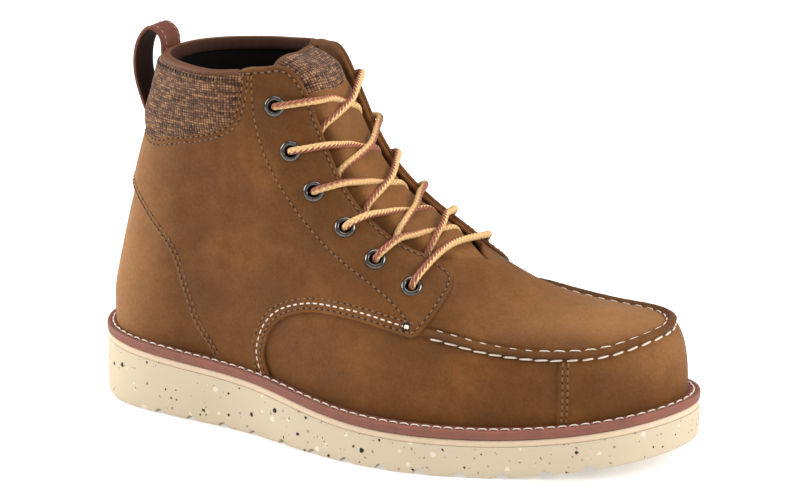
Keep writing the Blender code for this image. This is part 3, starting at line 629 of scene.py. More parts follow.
def circle(count, a, b):
    """Points round an ellipse with the half axes a and b."""
    turn = np.arange(count) * 2 * np.pi / count
    return np.cos(turn)[:, None] * a + np.sin(turn)[:, None] * b


def at_level(s, level=TOP_LEVEL):
    """A line of stations on one level of the last."""
    return np.column_stack([s, np.full(len(s), level)])


def add_object(name, data):
    """A new object of the scene."""
    obj = bpy.data.objects.new(name, data)
    bpy.context.scene.collection.objects.link(obj)
    return obj


def add_piece(name, points, faces, materials, slot, replaced=(), marks=None, merge=False):
    """A piece of the boot from points in the last's millimetres, riding on the boot's one body."""
    mesh = bpy.data.meshes.new(name)
    metres = (np.asarray(points, float) - ORIGIN) * MM
    mesh.from_pydata(metres.tolist(), [], faces)
    for key, values in (marks or {}).items():
        mesh.attributes.new(key, "FLOAT", "POINT").data.foreach_set("value", np.asarray(values, np.float32))
    if merge:
        solid = bmesh.new()
        solid.from_mesh(mesh)
        bmesh.ops.remove_doubles(solid, verts=solid.verts, dist=MERGE_DISTANCE)
        solid.to_mesh(mesh)
        solid.free()
    for material in materials:
        mesh.materials.append(material)
    mesh.shade_smooth()
    obj = add_object(name, mesh)
    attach(obj, BODY)
    if replaced:
        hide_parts(*replaced)
    return obj


def set_faces(obj, kinds):
    """Gives each face of a piece the material of that number."""
    obj.data.polygons.foreach_set("material_index", np.asarray(kinds, np.int32))


def thicken(obj, thickness, inner=0):
    """A wall behind an open surface, its inner face in the material that many numbers on."""
    wall_of = obj.modifiers.new("wall", "SOLIDIFY")
    wall_of.thickness = thickness * MM
    wall_of.offset = -1.0
    wall_of.use_quality_normals = True
    wall_of.material_offset = inner


WAVE_SHIFT = (7.3, 3.1, 5.7)


def waves(points, size, seed):
    """Smooth noise from -1 to 1 at points, with swells of about size millimetres."""
    shift = Vector([seed * step for step in WAVE_SHIFT])
    values = [noise.noise(Vector(p) / size + shift) for p in points.reshape(-1, 3)]
    return np.array(values).reshape(points.shape[:-1])


def leather_swell(points):
    """Slow unevenness of the leather over the last."""
    return 0.25 * waves(points, 22.0, 1)


# Materials.

def add(tree, kind, inputs=None, out=0, **settings):
    """Adds a shader node with its settings, values and links, and gives one of its outputs."""
    node = tree.nodes.new("ShaderNode" + kind)
    for key, value in settings.items():
        setattr(node, key, value)
    for key, value in (inputs or {}).items():
        socket = node.inputs[key]
        if isinstance(value, bpy.types.NodeSocket):
            tree.links.new(value, socket)
        else:
            socket.default_value = value
    return node.outputs[out]


def new_material(name, **constants):
    """A new material, its node tree and its Principled shader, whose constant sockets are set."""
    material = bpy.data.materials.new(name)
    material.use_nodes = True
    shader = material.node_tree.nodes["Principled BSDF"]
    for key, value in constants.items():
        shader.inputs[key.replace("_", " ")].default_value = value
    return material, material.node_tree, shader


def shade(colour, factor):
    """A colour made darker or lighter by a factor, with an alpha for the sockets."""
    return tuple(min(1.0, c * factor) for c in colour) + (1.0,)


def opaque(code):
    """An sRGB hex colour for the sockets."""
    return (*linear(code), 1.0)


NOISE_LOW, NOISE_HIGH = 0.3, 0.7   # what the values of a noise pattern mostly lie between


def dress(tree, shader, tone, rough=None, relief=None):
    """Links a tone to the shader, then a roughness and a relief where there is one.

    The roughness is a pattern with its low and high value, and the relief a height with its strength and its
    depth in millimetres.
    """
    tree.links.new(tone, shader.inputs["Base Color"])
    if rough:
        pattern, low, high = rough
        spread = add(tree, "MapRange", {0: pattern, 1: NOISE_LOW, 2: NOISE_HIGH, 3: low, 4: high})
        tree.links.new(spread, shader.inputs["Roughness"])
    if relief:
        height, strength, depth = relief
        bump = add(tree, "Bump", {"Height": height, "Strength": strength, "Distance": depth * MM})
        tree.links.new(bump, shader.inputs["Normal"])


def mottled(name, size, detail, tones, rough=None, relief=None, **constants):
    """A material of two tones in patches of size millimetres, which also vary its roughness and relief."""
    material, tree, shader = new_material(name, **constants)
    place = add(tree, "TexCoord", out="Object")
    pattern = add(tree, "TexNoise", {"Vector": place, "Scale": METRE / size, "Detail": detail})
    tone = add(tree, "Mix", {0: pattern, 6: tones[0], 7: tones[1]}, out=2, data_type="RGBA")
    dress(tree, shader, tone, rough and (pattern, *rough), relief and (pattern, *relief))
    return material


def nubuck():
    """Oiled nubuck: cowhide sanded to a short nap, so blotchy in tone and matt; paler where it is worn and
    where a highlight is painted, darker where shade is painted and at the eyestays.
    """
    colour = tuple(bpy.context.scene.boot_colours.leather)
    material, tree, shader = new_material("oiled_nubuck", IOR=1.5, Specular_IOR_Level=0.18, Sheen_Weight=0.03,
                                          Sheen_Roughness=0.5)
    place = add(tree, "TexCoord", out="Object")
    # Size in millimetres, detail and roughness of the blotches, of the clouds in them and of the nap. The
    # nap's grain is finer than a pixel, so it is drawn at 1.3 mm to show.
    patterns = []
    for size, detail, roughness in ((34.0, 3.0, 0.55), (9.0, 4.0, 0.6), (1.3, 3.0, 0.7)):
        patterns.append(add(tree, "TexNoise", {
            "Vector": place, "Scale": METRE / size, "Detail": detail, "Roughness": roughness}))
    blotch, cloud, nap = patterns
    rubbed = add(tree, "Attribute", out="Fac", attribute_name="rubbed")
    broad = add(tree, "MapRange", {0: blotch, 1: 0.33, 2: 0.67, 3: 0.0, 4: 1.0})
    base = add(tree, "Mix", {0: broad, 6: shade(colour, 0.70), 7: shade(colour, 1.22)},
               out=2, data_type="RGBA")
    fine = add(tree, "MapRange", {0: cloud, 1: NOISE_LOW, 2: NOISE_HIGH, 3: 0.0, 4: 0.64})
    clouded = add(tree, "Mix", {0: fine, 6: base, 7: shade(colour, 0.70)}, out=2, data_type="RGBA")
    # Paler towards tan where the mark is positive: partly wear, partly painted highlight.
    pale = add(tree, "Mix", {0: rubbed, 6: clouded, 7: opaque("#b3814f")}, out=2, data_type="RGBA")
    # Darker where the mark is negative: painted shade on the moccasin rib and under the facings, and the
    # darker eyestays.
    shade_and_dark = add(tree, "MapRange", {0: rubbed, 1: -1.0, 2: 0.0, 3: 0.4, 4: 1.0})
    grain = add(tree, "MapRange", {0: nap, 1: NOISE_LOW, 2: NOISE_HIGH, 3: 0.86, 4: 1.17})
    grain_and_shade = add(tree, "Math", {0: shade_and_dark, 1: grain}, operation="MULTIPLY")
    tinted = add(tree, "Mix", {0: 1.0, 6: pale, 7: grain_and_shade}, out=2, data_type="RGBA", blend_type="MULTIPLY")
    dress(tree, shader, tinted, (cloud, 0.62, 0.80), (nap, 0.35, 0.12))
    return material


def plain_leather(name, colour, roughness, gloss=0.4):
    """Smooth finished leather: fine pore grain, a low polish, slightly uneven dye."""
    material, tree, shader = new_material(name, IOR=1.5, Specular_IOR_Level=gloss)
    place = add(tree, "TexCoord", out="Object")
    dye_mm, pore_mm = 7.0, 0.8
    dye = add(tree, "TexNoise", {"Vector": place, "Scale": METRE / dye_mm, "Detail": 3.0})
    pores = add(tree, "TexVoronoi", {"Vector": place, "Scale": METRE / pore_mm})
    tone = add(tree, "Mix", {0: dye, 6: shade(colour, 0.7), 7: shade(colour, 1.3)}, out=2, data_type="RGBA")
    dress(tree, shader, tone, (dye, roughness - 0.08, roughness + 0.08), (pores, 0.3, 0.1))
    return material


# Kinds of crumb in the sole: spacing as a share of the speck's size, share of the places that hold one,
# radius as a share of the spacing, and colour.
CRUMBS = [(1.3, 0.28, 0.20, "#d9ccb5"), (0.45, 0.16, 0.24, "#8d7c69"), (0.8, 0.20, 0.17, "#1d1a18"),
          (1.7, 0.24, 0.13, "#14110f")]


def foam_rubber():
    """Foamed crepe rubber: matt and pale, with ground cork and rubber crumbs that show as specks."""
    colour = tuple(bpy.context.scene.boot_colours.rubber)
    material, tree, shader = new_material("foamed_rubber", IOR=1.52, Specular_IOR_Level=0.35)
    place = add(tree, "TexCoord", out="Object")
    size = bpy.context.scene.boot_sizes.speck / MM
    wobble_mm, tear_mm, cloud_mm, pore_mm = 1.4, 1.6, 26.0, 1.1
    wobble = add(tree, "TexNoise", {"Vector": place, "Scale": METRE / wobble_mm, "Detail": 2.0},
                 out="Color")
    bent = add(tree, "VectorMath", {0: wobble, 1: (tear_mm * MM,) * 3}, operation="MULTIPLY")
    torn = add(tree, "VectorMath", {0: place, 1: bent}, operation="ADD")
    cloud = add(tree, "TexNoise", {"Vector": place, "Scale": METRE / cloud_mm, "Detail": 3.0})
    tone = add(tree, "Mix", {0: cloud, 6: shade(colour, 0.93), 7: shade(colour, 1.04)},
               out=2, data_type="RGBA")
    for spacing, share, radius, code in CRUMBS:
        cells = add(tree, "TexVoronoi", {"Vector": torn, "Scale": METRE / (size * spacing)}).node.outputs
        lot = add(tree, "SeparateColor", {0: cells["Color"]}).node.outputs
        chosen = add(tree, "Math", {0: lot[0], 1: share}, operation="LESS_THAN")
        reach = add(tree, "MapRange", {0: lot[1], 1: 0.0, 2: 1.0, 3: radius * 0.5, 4: radius * 1.5})
        near = add(tree, "Math", {0: cells["Distance"], 1: reach}, operation="LESS_THAN")
        both = add(tree, "Math", {0: chosen, 1: near}, operation="MULTIPLY")
        tone = add(tree, "Mix", {0: both, 6: tone, 7: opaque(code)}, out=2, data_type="RGBA")
    pores = add(tree, "TexNoise", {"Vector": place, "Scale": METRE / pore_mm, "Detail": 4.0,
                                   "Roughness": 0.7})
    dress(tree, shader, tone, (pores, 0.66, 0.86), (pores, 0.25, 0.15))
    return material


def sole_layer():
    """Pressed foam sheet under the welt: even, pale and matt, with a fine sanded edge."""
    colour = tuple(bpy.context.scene.boot_colours.midsole)
    return mottled("pressed_foam", 1.5, 3.0, (shade(colour, 0.92), shade(colour, 1.06)), (0.7, 0.85),
                   (0.2, 0.1), IOR=1.5, Specular_IOR_Level=0.3)


def knitted():
    """Tweed knit: rows of plied yarn loops in brown, tan and black, soft and without gloss."""
    material, tree, shader = new_material("tweed_knit", IOR=1.45, Specular_IOR_Level=0.12, Roughness=0.95,
                                          Sheen_Weight=0.1)
    loop = bpy.context.scene.boot_sizes.knit / MM
    wale = add(tree, "Attribute", out="Fac", attribute_name="wale")
    course = add(tree, "Attribute", out="Fac", attribute_name="course")
    across = add(tree, "Math", {0: wale, 1: 1 / loop}, operation="MULTIPLY")
    inside = add(tree, "Math", {0: across}, operation="FRACT")
    # Each loop is a V: its legs lean in to the middle of the wale.
    leg = add(tree, "Math", {0: inside, 1: 0.5}, operation="PINGPONG")
    rise = add(tree, "Math", {0: course, 1: 1.1 / loop, 2: leg}, operation="MULTIPLY_ADD")
    bows = []
    for way in (across, rise):
        turned = add(tree, "Math", {0: way, 1: math.pi}, operation="MULTIPLY")
        wave = add(tree, "Math", {0: turned}, operation="SINE")
        bows.append(add(tree, "Math", {0: wave}, operation="ABSOLUTE"))
    height = add(tree, "Math", {0: bows[0], 1: bows[1]}, operation="MULTIPLY")
    cell = add(tree, "CombineXYZ", {
        0: add(tree, "Math", {0: across}, operation="FLOOR"),
        1: add(tree, "Math", {0: rise}, operation="FLOOR")})
    lot = add(tree, "TexWhiteNoise", {0: cell}, noise_dimensions="2D")
    # The yarn changes colour slowly along its row and quickly from row to row.
    yarn_mm, row_mm = 8.0, 1.5
    place = add(tree, "CombineXYZ", {
        0: add(tree, "Math", {0: wale, 1: 1 / yarn_mm}, operation="MULTIPLY"),
        1: add(tree, "Math", {0: course, 1: 1 / row_mm}, operation="MULTIPLY")})
    streak = add(tree, "TexNoise", {"Vector": place, "Scale": 1.0, "Detail": 2.0})
    pick = add(tree, "Math", {0: lot, 1: 0.30, 2: streak}, operation="MULTIPLY_ADD")
    dark = add(tree, "MapRange", {0: pick, 1: 0.36, 2: 0.68, 3: 0.0, 4: 1.0})
    pale = add(tree, "MapRange", {0: pick, 1: 0.66, 2: 0.90, 3: 0.0, 4: 1.0})
    tone = add(tree, "Mix", {0: dark, 6: opaque("#38251d"), 7: opaque("#74503a")},
               out=2, data_type="RGBA")
    tone = add(tree, "Mix", {0: pale, 6: tone, 7: opaque("#a67c56")}, out=2, data_type="RGBA")
    # Painted shade in the gaps between the loops, and a painted highlight on their crowns.
    deep = add(tree, "MapRange", {0: height, 1: 0.0, 2: 0.75, 3: 0.20, 4: 1.2})
    shaded = add(tree, "Mix", {0: 1.0, 6: tone, 7: deep}, out=2, data_type="RGBA", blend_type="MULTIPLY")
    dress(tree, shader, shaded, relief=(height, 0.7, 0.5))
    return material


def black_cloth():
    """Brushed lining cloth: black and dull, with a trace of its weave."""
    return mottled("lining_cloth", 1.0, 3.0, (opaque("#070605"), opaque("#110f0d")), relief=(0.4, 0.2),
                   IOR=1.45, Specular_IOR_Level=0.15, Roughness=0.95)


def gunmetal():
    """Blackened brass, pressed and tumbled: dark, with a soft shine and fine worn marks."""
    return mottled("blackened_brass", 1.6, 3.0, (opaque("#3a3836"), opaque("#787571")), (0.14, 0.24),
                   Metallic=1.0)


LACE_WIND = 260.0         # length of lace over which its stripes wind once round it


def braided():
    """Round braided lace: half of its waxed yarns gold, half red, in two stripes that wind slowly on it."""
    colours = bpy.context.scene.boot_colours
    material, tree, shader = new_material("braided_cord", IOR=1.5, Specular_IOR_Level=0.3, Roughness=0.7)
    turn, run, relief = [add(tree, "Attribute", out="Fac", attribute_name=mark)
                         for mark in ("turn", "run", "yarn")]
    fleck_mm, yarns = 2.4, 5.0
    around = add(tree, "Math", {0: turn, 1: yarns}, operation="MULTIPLY")
    slanted = add(tree, "Math", {0: run, 1: 1 / fleck_mm, 2: around}, operation="MULTIPLY_ADD")
    fleck = add(tree, "Math", {0: slanted, 1: 0.5}, operation="PINGPONG")
    wound = add(tree, "Math", {0: run, 1: 1 / LACE_WIND, 2: turn}, operation="MULTIPLY_ADD")
    frayed = add(tree, "Math", {0: fleck, 1: 0.22, 2: wound}, operation="MULTIPLY_ADD")
    half = add(tree, "Math", {0: frayed}, operation="FRACT")
    red = add(tree, "Math", {0: half, 1: 0.54}, operation="GREATER_THAN")
    glint = add(tree, "MapRange", {0: fleck, 1: 0.30, 2: 0.5, 3: 0.0, 4: 0.7})
    gold = add(tree, "Mix", {0: glint, 6: (*colours.lace, 1.0), 7: opaque("#f4dfae")},
               out=2, data_type="RGBA")
    wine = add(tree, "Mix", {0: glint, 6: (*colours.fleck, 1.0), 7: opaque("#cf9a86")},
               out=2, data_type="RGBA")
    tone = add(tree, "Mix", {0: red, 6: gold, 7: wine}, out=2, data_type="RGBA")
    # Painted shade between the yarns, and a faint painted highlight on their crowns.
    deep = add(tree, "MapRange", {0: relief, 1: 0.0, 2: 1.0, 3: 0.6, 4: 1.05})
    shaded = add(tree, "Mix", {0: 1.0, 6: tone, 7: deep}, out=2, data_type="RGBA", blend_type="MULTIPLY")
    dress(tree, shader, shaded)
    return material


def thread(name, colour):
    """Bonded sewing thread: plied and waxed, a little glossier on top of the twist."""
    return mottled(name, 0.8, 2.0, (shade(colour, 0.75), shade(colour, 1.15)), (0.5, 0.7), (0.3, 0.1),
                   IOR=1.5, Specular_IOR_Level=0.35)


def floor_paint():
    """Matt pale studio floor, lit from below more and more to its far edge, so that it shows pure white."""
    material, tree, shader = new_material("lit_floor_sheet", Specular_IOR_Level=0.1, Roughness=0.9,
                                          Emission_Color=(1.0, 1.0, 1.0, 1.0))
    place = add(tree, "TexCoord", out="Object")
    coat = add(tree, "TexNoise", {"Vector": place, "Scale": 3.0})
    tone = add(tree, "Mix", {0: coat, 6: opaque("#d8d8d8"), 7: opaque("#dcdcdc")},
               out=2, data_type="RGBA")
    dress(tree, shader, tone)
    away = add(tree, "VectorMath", {0: place}, out="Value", operation="LENGTH")
    glow = add(tree, "MapRange", {0: away, 1: 0.2, 2: 1.2, 3: 0.4, 4: 1.0})
    tree.links.new(glow, shader.inputs["Emission Strength"])
    return material


MADE = {}


def finish_of(name):
    """The finish of that name, made once."""
    colours = bpy.context.scene.boot_colours
    makers = {
        "nubuck": nubuck,
        "welt": lambda: plain_leather("dyed_welt_leather", tuple(colours.welt), 0.62),
        "trim": lambda: plain_leather("smooth_trim_leather", tuple(colours.trim), 0.55, 0.2),
        "loop": lambda: plain_leather("dyed_strap_leather", tuple(colours.loop), 0.5, 0.2),
        # Dark inner leather: painted shade on faces that lie in shade.
        "inner": lambda: plain_leather("dark_lining_leather", tuple(colours.inner), 0.85, 0.08),
        # Needle holes: a dark leather colour as painted shade.
        "hole": lambda: plain_leather("bare_leather_core", linear("#20130c"), 0.9),
        "rubber": foam_rubber,
        "layer": sole_layer,
        "knit": knitted,
        "lining": black_cloth,
        "metal": gunmetal,
        "lace": braided,
        "white": lambda: thread("white_thread", tuple(colours.white_thread)),
        "brown": lambda: thread("brown_thread", tuple(colours.brown_thread)),
        "dark": lambda: thread("dark_thread", linear("#1f130d")),
        "rose": lambda: thread("rose_thread", linear("#a9806c")),
    }
    if name not in MADE:
        MADE[name] = makers[name]()
    return MADE[name]


# Panels that lie on the last. They are meshed flat, with rows of points beside the edge and a grid inside.
LEVEL_MM = [0.0, 5.0, 20.0, 55.0, 110.0, 150.0]
STATION_MM = 25.0
EDGE_ROWS = (0.25, 0.6, 1.1, 1.8, 2.7)
ROW_KEEP = 0.85           # share of its distance that a row's point has to keep from the edge
PANEL_STEP = 1.0          # between the points of the edge, and of the line that distances are taken from
EDGE_STEP = 0.2
INNER_CLEAR = 1.2         # between the last row and the grid, and between a hole and the grid
HOLE_CLEAR = 1.0
HOLE_POINTS = 20
HOLE_KEEP = 0.9           # share of a hole's radius within which its faces are taken out
MESH_TINY = 1e-5
INNER_S = 0.085
INNER_LEVELS = np.concatenate([np.linspace(0.3, 1, 4), np.linspace(1, 2, 8)[1:], np.linspace(2, 3, 17)[1:],
                               np.linspace(3, 4, 26)[1:], np.linspace(4, 5, 21)[1:]])


def flat(st):
    """A panel's points laid flat, about true to size."""
    return np.column_stack([st[:, 0] * STATION_MM, np.interp(st[:, 1], range(6), LEVEL_MM)])


def unflat(xy):
    """Stations and levels of points laid flat."""
    return np.column_stack([xy[:, 0] / STATION_MM, np.interp(xy[:, 1], LEVEL_MM, range(6))])


def inside(xy, ring):
    """Which points lie inside a closed outline."""
    x, y = xy[:, :1], xy[:, 1:]
    x0, y0 = ring[:, 0], ring[:, 1]
    x1, y1 = np.roll(x0, -1), np.roll(y0, -1)
    crosses = (y0 > y) != (y1 > y)
    slope = np.where(y1 == y0, TINY, y1 - y0)
    return (np.sum(crosses & (x < (x1 - x0) * (y - y0) / slope + x0), 1) % 2).astype(bool)


def distances(points, line):
    """Distance of each point from a line given by close points."""
    tree = kdtree.KDTree(len(line))
    for i, p in enumerate(line):
        tree.insert(p, i)
    tree.balance()
    return np.array([tree.find(p)[2] for p in points])


def panel_mesh(loop, holes=()):
    """Points in stations and levels, triangles and distance from the edge, for a panel with round holes."""
    loop = spaced(np.concatenate([loop, loop[:1]]), PANEL_STEP)[:-1]
    ring = flat(loop)
    area = np.sum(ring[:, 0] * np.roll(ring[:, 1], -1) - ring[:, 1] * np.roll(ring[:, 0], -1))
    if area < 0:
        loop, ring = loop[::-1], ring[::-1]
    edge_line = last(spaced(np.concatenate([loop, loop[:1]]), EDGE_STEP))
    rows = [loop]
    for distance in EDGE_ROWS:
        row = inset(loop, distance, closed=True)
        row = row[inside(flat(row), ring)]
        rows.append(row[distances(last(row), edge_line) > ROW_KEEP * distance])
    low, high = loop.min(0), loop.max(0)
    s_grid, t_grid = np.meshgrid(np.arange(low[0], high[0], INNER_S), INNER_LEVELS)
    s_grid = s_grid + np.where(np.arange(len(INNER_LEVELS)) % 2, INNER_S / 2, 0)[:, None]
    inner = np.column_stack([s_grid.ravel(), t_grid.ravel()])
    inner = inner[inside(flat(inner), ring)]
    inner = inner[distances(last(inner), edge_line) > EDGE_ROWS[-1] + INNER_CLEAR]
    for centre, radius in holes:
        inner = inner[np.linalg.norm(last(inner) - last(centre), axis=1) > radius + HOLE_CLEAR]
    bores = [hole_ring(centre, radius) for centre, radius in holes]
    everything = np.concatenate([*rows, inner, *bores])
    count = len(loop)
    edges = [(i, (i + 1) % count) for i in range(count)]
    start = len(everything) - sum(len(b) for b in bores)
    for bore in bores:
        edges += [(start + i, start + (i + 1) % len(bore)) for i in range(len(bore))]
        start += len(bore)
    made = geometry.delaunay_2d_cdt([Vector(p) for p in flat(everything)], edges, [], 1, MESH_TINY)
    st = unflat(np.array([tuple(v) for v in made[0]]))
    faces = np.array(made[2])
    middle = last(st)[faces].mean(1)
    for centre, radius in holes:
        keep = np.linalg.norm(middle - last(centre), axis=1) > radius * HOLE_KEEP
        faces, middle = faces[keep], middle[keep]
    return st, faces.tolist(), distances(last(st), edge_line)


def hole_ring(centre, radius):
    """Round hole on the last, as stations and levels."""
    along = unit(read(ALONG, *centre))
    up = np.cross(read(NORMAL, *centre), along)
    return slide(np.tile(centre, (HOLE_POINTS, 1)), radius * circle(HOLE_POINTS, along, up))


def rounded(distance, radius):
    """Rises from 0 at the edge to 1 like a quarter circle."""
    return np.sqrt(1 - (1 - np.clip(distance / radius, 0, 1)) ** 2)


def sewn_in(points, lines, depth=0.3, width=1.1):
    """How far the thread draws a surface in along its seams."""
    pull = np.zeros(len(points))
    for line in lines:
        near = distances(points, last(spaced(line, SEWN_STEP)))
        pull = np.maximum(pull, np.exp(-(near / width) ** 2))
    return depth * pull


# Seams of each side, worked out once.
Seams = namedtuple("Seams", "counter wing tab cuff eyestay throat")


def seams_of(side):
    """The panel lines of one side, as stations and levels."""
    counter = seam_line(COUNTER_SEAM, side, from_back=True)
    cuff = seam_line(CUFF_LINE, side, from_back=True)
    wing = seam_line(WING_EDGE, side)
    tab = seam_line(TAB_EDGE, side)
    eyestay = seam_line(EYESTAY_LINE, side)
    throat = at_level(np.linspace(cuff[-1, 0], tab[-1, 0], 160))
    return Seams(counter, wing, tab, cuff, eyestay, throat)


SEAMS = {side: seams_of(side) for side in SIDES}
EYELET_PLACES = {side: on_last(np.array(EYELETS, float), side)[0] for side in SIDES}
QUARTER_FOOT = 0.62       # levels of the quarters' lower edge and of the lower end of their seams
SEWN_FOOT = 0.9


def outward(side):
    """Sign that turns a line drawn on the outer side so that its left means the same on the inner side."""
    return 1 if side == "lateral" else -1


def quarter_outline(side):
    """The quarter's edge: cuff, throat, tab, wing, foot, counter and the seam up the back."""
    seams = SEAMS[side]
    wing = seams.wing[seams.wing[:, 1] > QUARTER_FOOT]
    counter = seams.counter[seams.counter[:, 1] > QUARTER_FOOT]
    foot = [[wing[0, 0], QUARTER_FOOT], [counter[-1, 0], QUARTER_FOOT]]
    return np.concatenate([seams.cuff[:-1], seams.throat, seams.tab[::-1], wing[::-1][1:], foot,
                           counter[::-1]])


# Stitches: a run is a line of points with normals, and the pitch, length, width and slant of its stitches.
Run = namedtuple("Run", "points normals pitch length width slant")
SEWN_STEP = 0.5
STITCH_THIN = 0.86        # how much a stitch thins to its ends, rises and dives in, and its height in widths
STITCH_RISE = 0.42
STITCH_DIVE = 0.75
STITCH_FLAT = 0.8
NEEDLE_HOLE = 0.5         # half width of a needle hole, its length in widths, its height at middle and rim
NEEDLE_HOLE_LONG = 1.7
NEEDLE_HOLE_MIDDLE = 0.32
NEEDLE_HOLE_RIM = 0.12


def sewn_on(line, lift, pitch, length, width, slant=0.0):
    """A run of stitches along a line of the last."""
    st = spaced(line, SEWN_STEP)
    lift = lift + leather_swell(last(st))
    return Run(last(st, lift), unit(read(NORMAL, st[:, 0], st[:, 1])), pitch, length, width, slant)


def stitch_places(run, shift=0.5):
    """Middle, direction and normal of each stitch of a run, or of places another share of the pitch along."""
    way = run_along(run.points)
    at = np.arange(run.pitch * shift, way[-1], run.pitch)

    def along_run(values, distance):
        return np.column_stack([np.interp(distance, way, values[:, k]) for k in range(3)])

    normal = unit(along_run(run.normals, at))
    along = unit(along_run(run.points, at + 0.5) - along_run(run.points, at - 0.5))
    side = np.cross(normal, along)
    along = unit(along * math.cos(run.slant) + side * math.sin(run.slant))
    return along_run(run.points, at), along, normal


def stitch_mesh(runs):
    """Points and faces of all stitches of the runs: short plied threads that dive in at both ends."""
    rings, sides = 7, 6
    share = np.linspace(-1, 1, rings)
    points, faces = [], []
    for run in runs:
        fat = run.width / 2 * np.sqrt(np.maximum(0.0, 1 - STITCH_THIN * share**4))
        rise = run.width * (STITCH_RISE - STITCH_DIVE * share**4)
        for p, a, n in zip(*stitch_places(run)):
            centre = p + np.outer(share * run.length / 2, a) + np.outer(rise, n)
            ring = circle(sides, np.cross(n, a), n * STITCH_FLAT)
            faces += tube_faces(rings, sides, len(points) * rings * sides)
            points.append((centre[:, None] + fat[:, None, None] * ring).reshape(-1, 3))
    return np.concatenate(points), faces


def hole_mesh(runs):
    """Points and faces of the needle holes at the ends of the stitches: small flat dots, a little domed, dark
    with painted shade.
    """
    sides = 8
    points, faces = [], []
    for run in runs:
        for p, a, n in zip(*stitch_places(run, 0.0)):
            first = len(points) * (sides + 1)
            ring = NEEDLE_HOLE * circle(sides, a * NEEDLE_HOLE_LONG, np.cross(n, a))
            points.append(np.concatenate([[p + n * NEEDLE_HOLE_MIDDLE], p + n * NEEDLE_HOLE_RIM + ring]))
            faces += [[first, first + 1 + k, first + 1 + (k + 1) % sides] for k in range(sides)]
    return np.concatenate(points), faces


class BootOperator(bpy.types.Operator):
    """Base of the boot's operators."""
    bl_options = {"REGISTER", "UNDO"}


class BOOT_OT_stage(BootOperator):
    """Adds the pale floor, the soft lights and the camera at the photograph's angle."""
    bl_idname = "boot.stage"
    bl_label = "Stage"

    def execute(self, context):
        add_camera()
        add_lights()
        add_floor()
        return {"FINISHED"}


# Camera: its angle to the boot, its distance and focal length in the photograph's 800 pixels, its target.
VIEW_AZIMUTH = math.radians(26.5)
VIEW_ELEVATION = math.radians(16.6)
VIEW_DISTANCE = 1350.0
VIEW_FOCAL_PIXELS = 2858.0
VIEW_TARGET = np.array([161.3, 0.0, 85.2])
IMAGE_WIDTH = 800
SENSOR_WIDTH = 36.0
CLIP_START = 0.05


def add_camera():
    """The camera at the photograph's angle."""
    camera = bpy.data.cameras.new("camera")
    camera.sensor_width = SENSOR_WIDTH
    camera.lens = VIEW_FOCAL_PIXELS * SENSOR_WIDTH / IMAGE_WIDTH
    camera.clip_start = CLIP_START
    obj = add_object("camera", camera)
    back = Vector((math.sin(VIEW_AZIMUTH) * math.cos(VIEW_ELEVATION),
                   -math.cos(VIEW_AZIMUTH) * math.cos(VIEW_ELEVATION), math.sin(VIEW_ELEVATION)))
    target = Vector((VIEW_TARGET - ORIGIN) * MM)
    obj.location = target + back * VIEW_DISTANCE * MM
    obj.rotation_euler = back.to_track_quat("Z", "Y").to_euler()
    bpy.context.scene.camera = obj


Lamp = namedtuple("Lamp", "name place size power")
LAMPS = [
    Lamp("top_box", (0.0, 0.1, 1.3), 1.0, 10.0),
    Lamp("toe_box", (1.2, 0.0, 0.75), 0.7, 16.0),
    Lamp("heel_box", (-1.15, -0.35, 0.6), 0.7, 16.0),
    Lamp("front_fill", (0.15, -1.3, 0.8), 1.2, 1.5),
]
LAMP_AIM = Vector((0, 0, 0.06))
WORLD_STRENGTH = 0.4


def add_lights():
    """Soft boxes round the boot, and an even white world."""
    for lamp in LAMPS:
        light = bpy.data.lights.new(lamp.name, "AREA")
        light.size = lamp.size
        light.energy = lamp.power
        obj = add_object(lamp.name, light)
        obj.location = lamp.place
        obj.rotation_euler = (Vector(lamp.place) - LAMP_AIM).to_track_quat("Z", "Y").to_euler()
    world = bpy.data.worlds.new("studio")
    world.use_nodes = True
    background = world.node_tree.nodes["Background"]
    background.inputs[0].default_value = (1, 1, 1, 1)
    background.inputs[1].default_value = WORLD_STRENGTH
    bpy.context.scene.world = world
    bpy.context.scene.view_settings.view_transform = "Standard"


FLOOR_RADII = (0.02, 0.4, 1.2, 3.0, 6.0, 9.0)


def add_floor():
    """A round flat sheet of floor that reaches far beyond the boot."""
    turns = 64
    points = []
    for radius in FLOOR_RADII:
        for k in range(turns):
            angle = k * 2 * math.pi / turns
            points.append((radius * math.cos(angle), radius * math.sin(angle), 0.0))
    faces = grid_faces(len(FLOOR_RADII), turns, True) + [list(range(turns))]
    mesh = bpy.data.meshes.new("floor")
    mesh.from_pydata(points, [], faces)
    mesh.materials.append(floor_paint())
    obj = add_object("floor", mesh)


# Sole.
SOLE_COLUMNS = np.arange(0, RING, 1 / 18)
LAYER_GAP = 1.2 * GAP     # between the outsole and the layer over it
WELT_INSIDE = 0.3         # how far the welt goes on under the wall
SHARP_ANGLE = 0.7
SLOT_SEGMENTS = 20


def outline_at(drawn_in, height):
    """The sole's outline drawn in, at a height that follows its length."""
    ring = edge_ring(SOLE_COLUMNS, drawn_in)
    return np.column_stack([ring, height(ring[:, 0])])


def plate_faces(rows, columns):
    """Side quads of stacked outline rings, with caps laid across from side to side."""
    faces = grid_faces(rows, columns, True)
    half = columns // 2
    for ring, turned in (((rows - 1) * columns, False), (0, True)):
        for i in range(half):
            across = [i, i + 1, (columns - i - 1) % columns, (columns - i) % columns]
            corners = [ring + corner for corner in dict.fromkeys(across)]
            if len(corners) > 2:
                faces.append(corners[::-1] if turned else corners)
    return faces


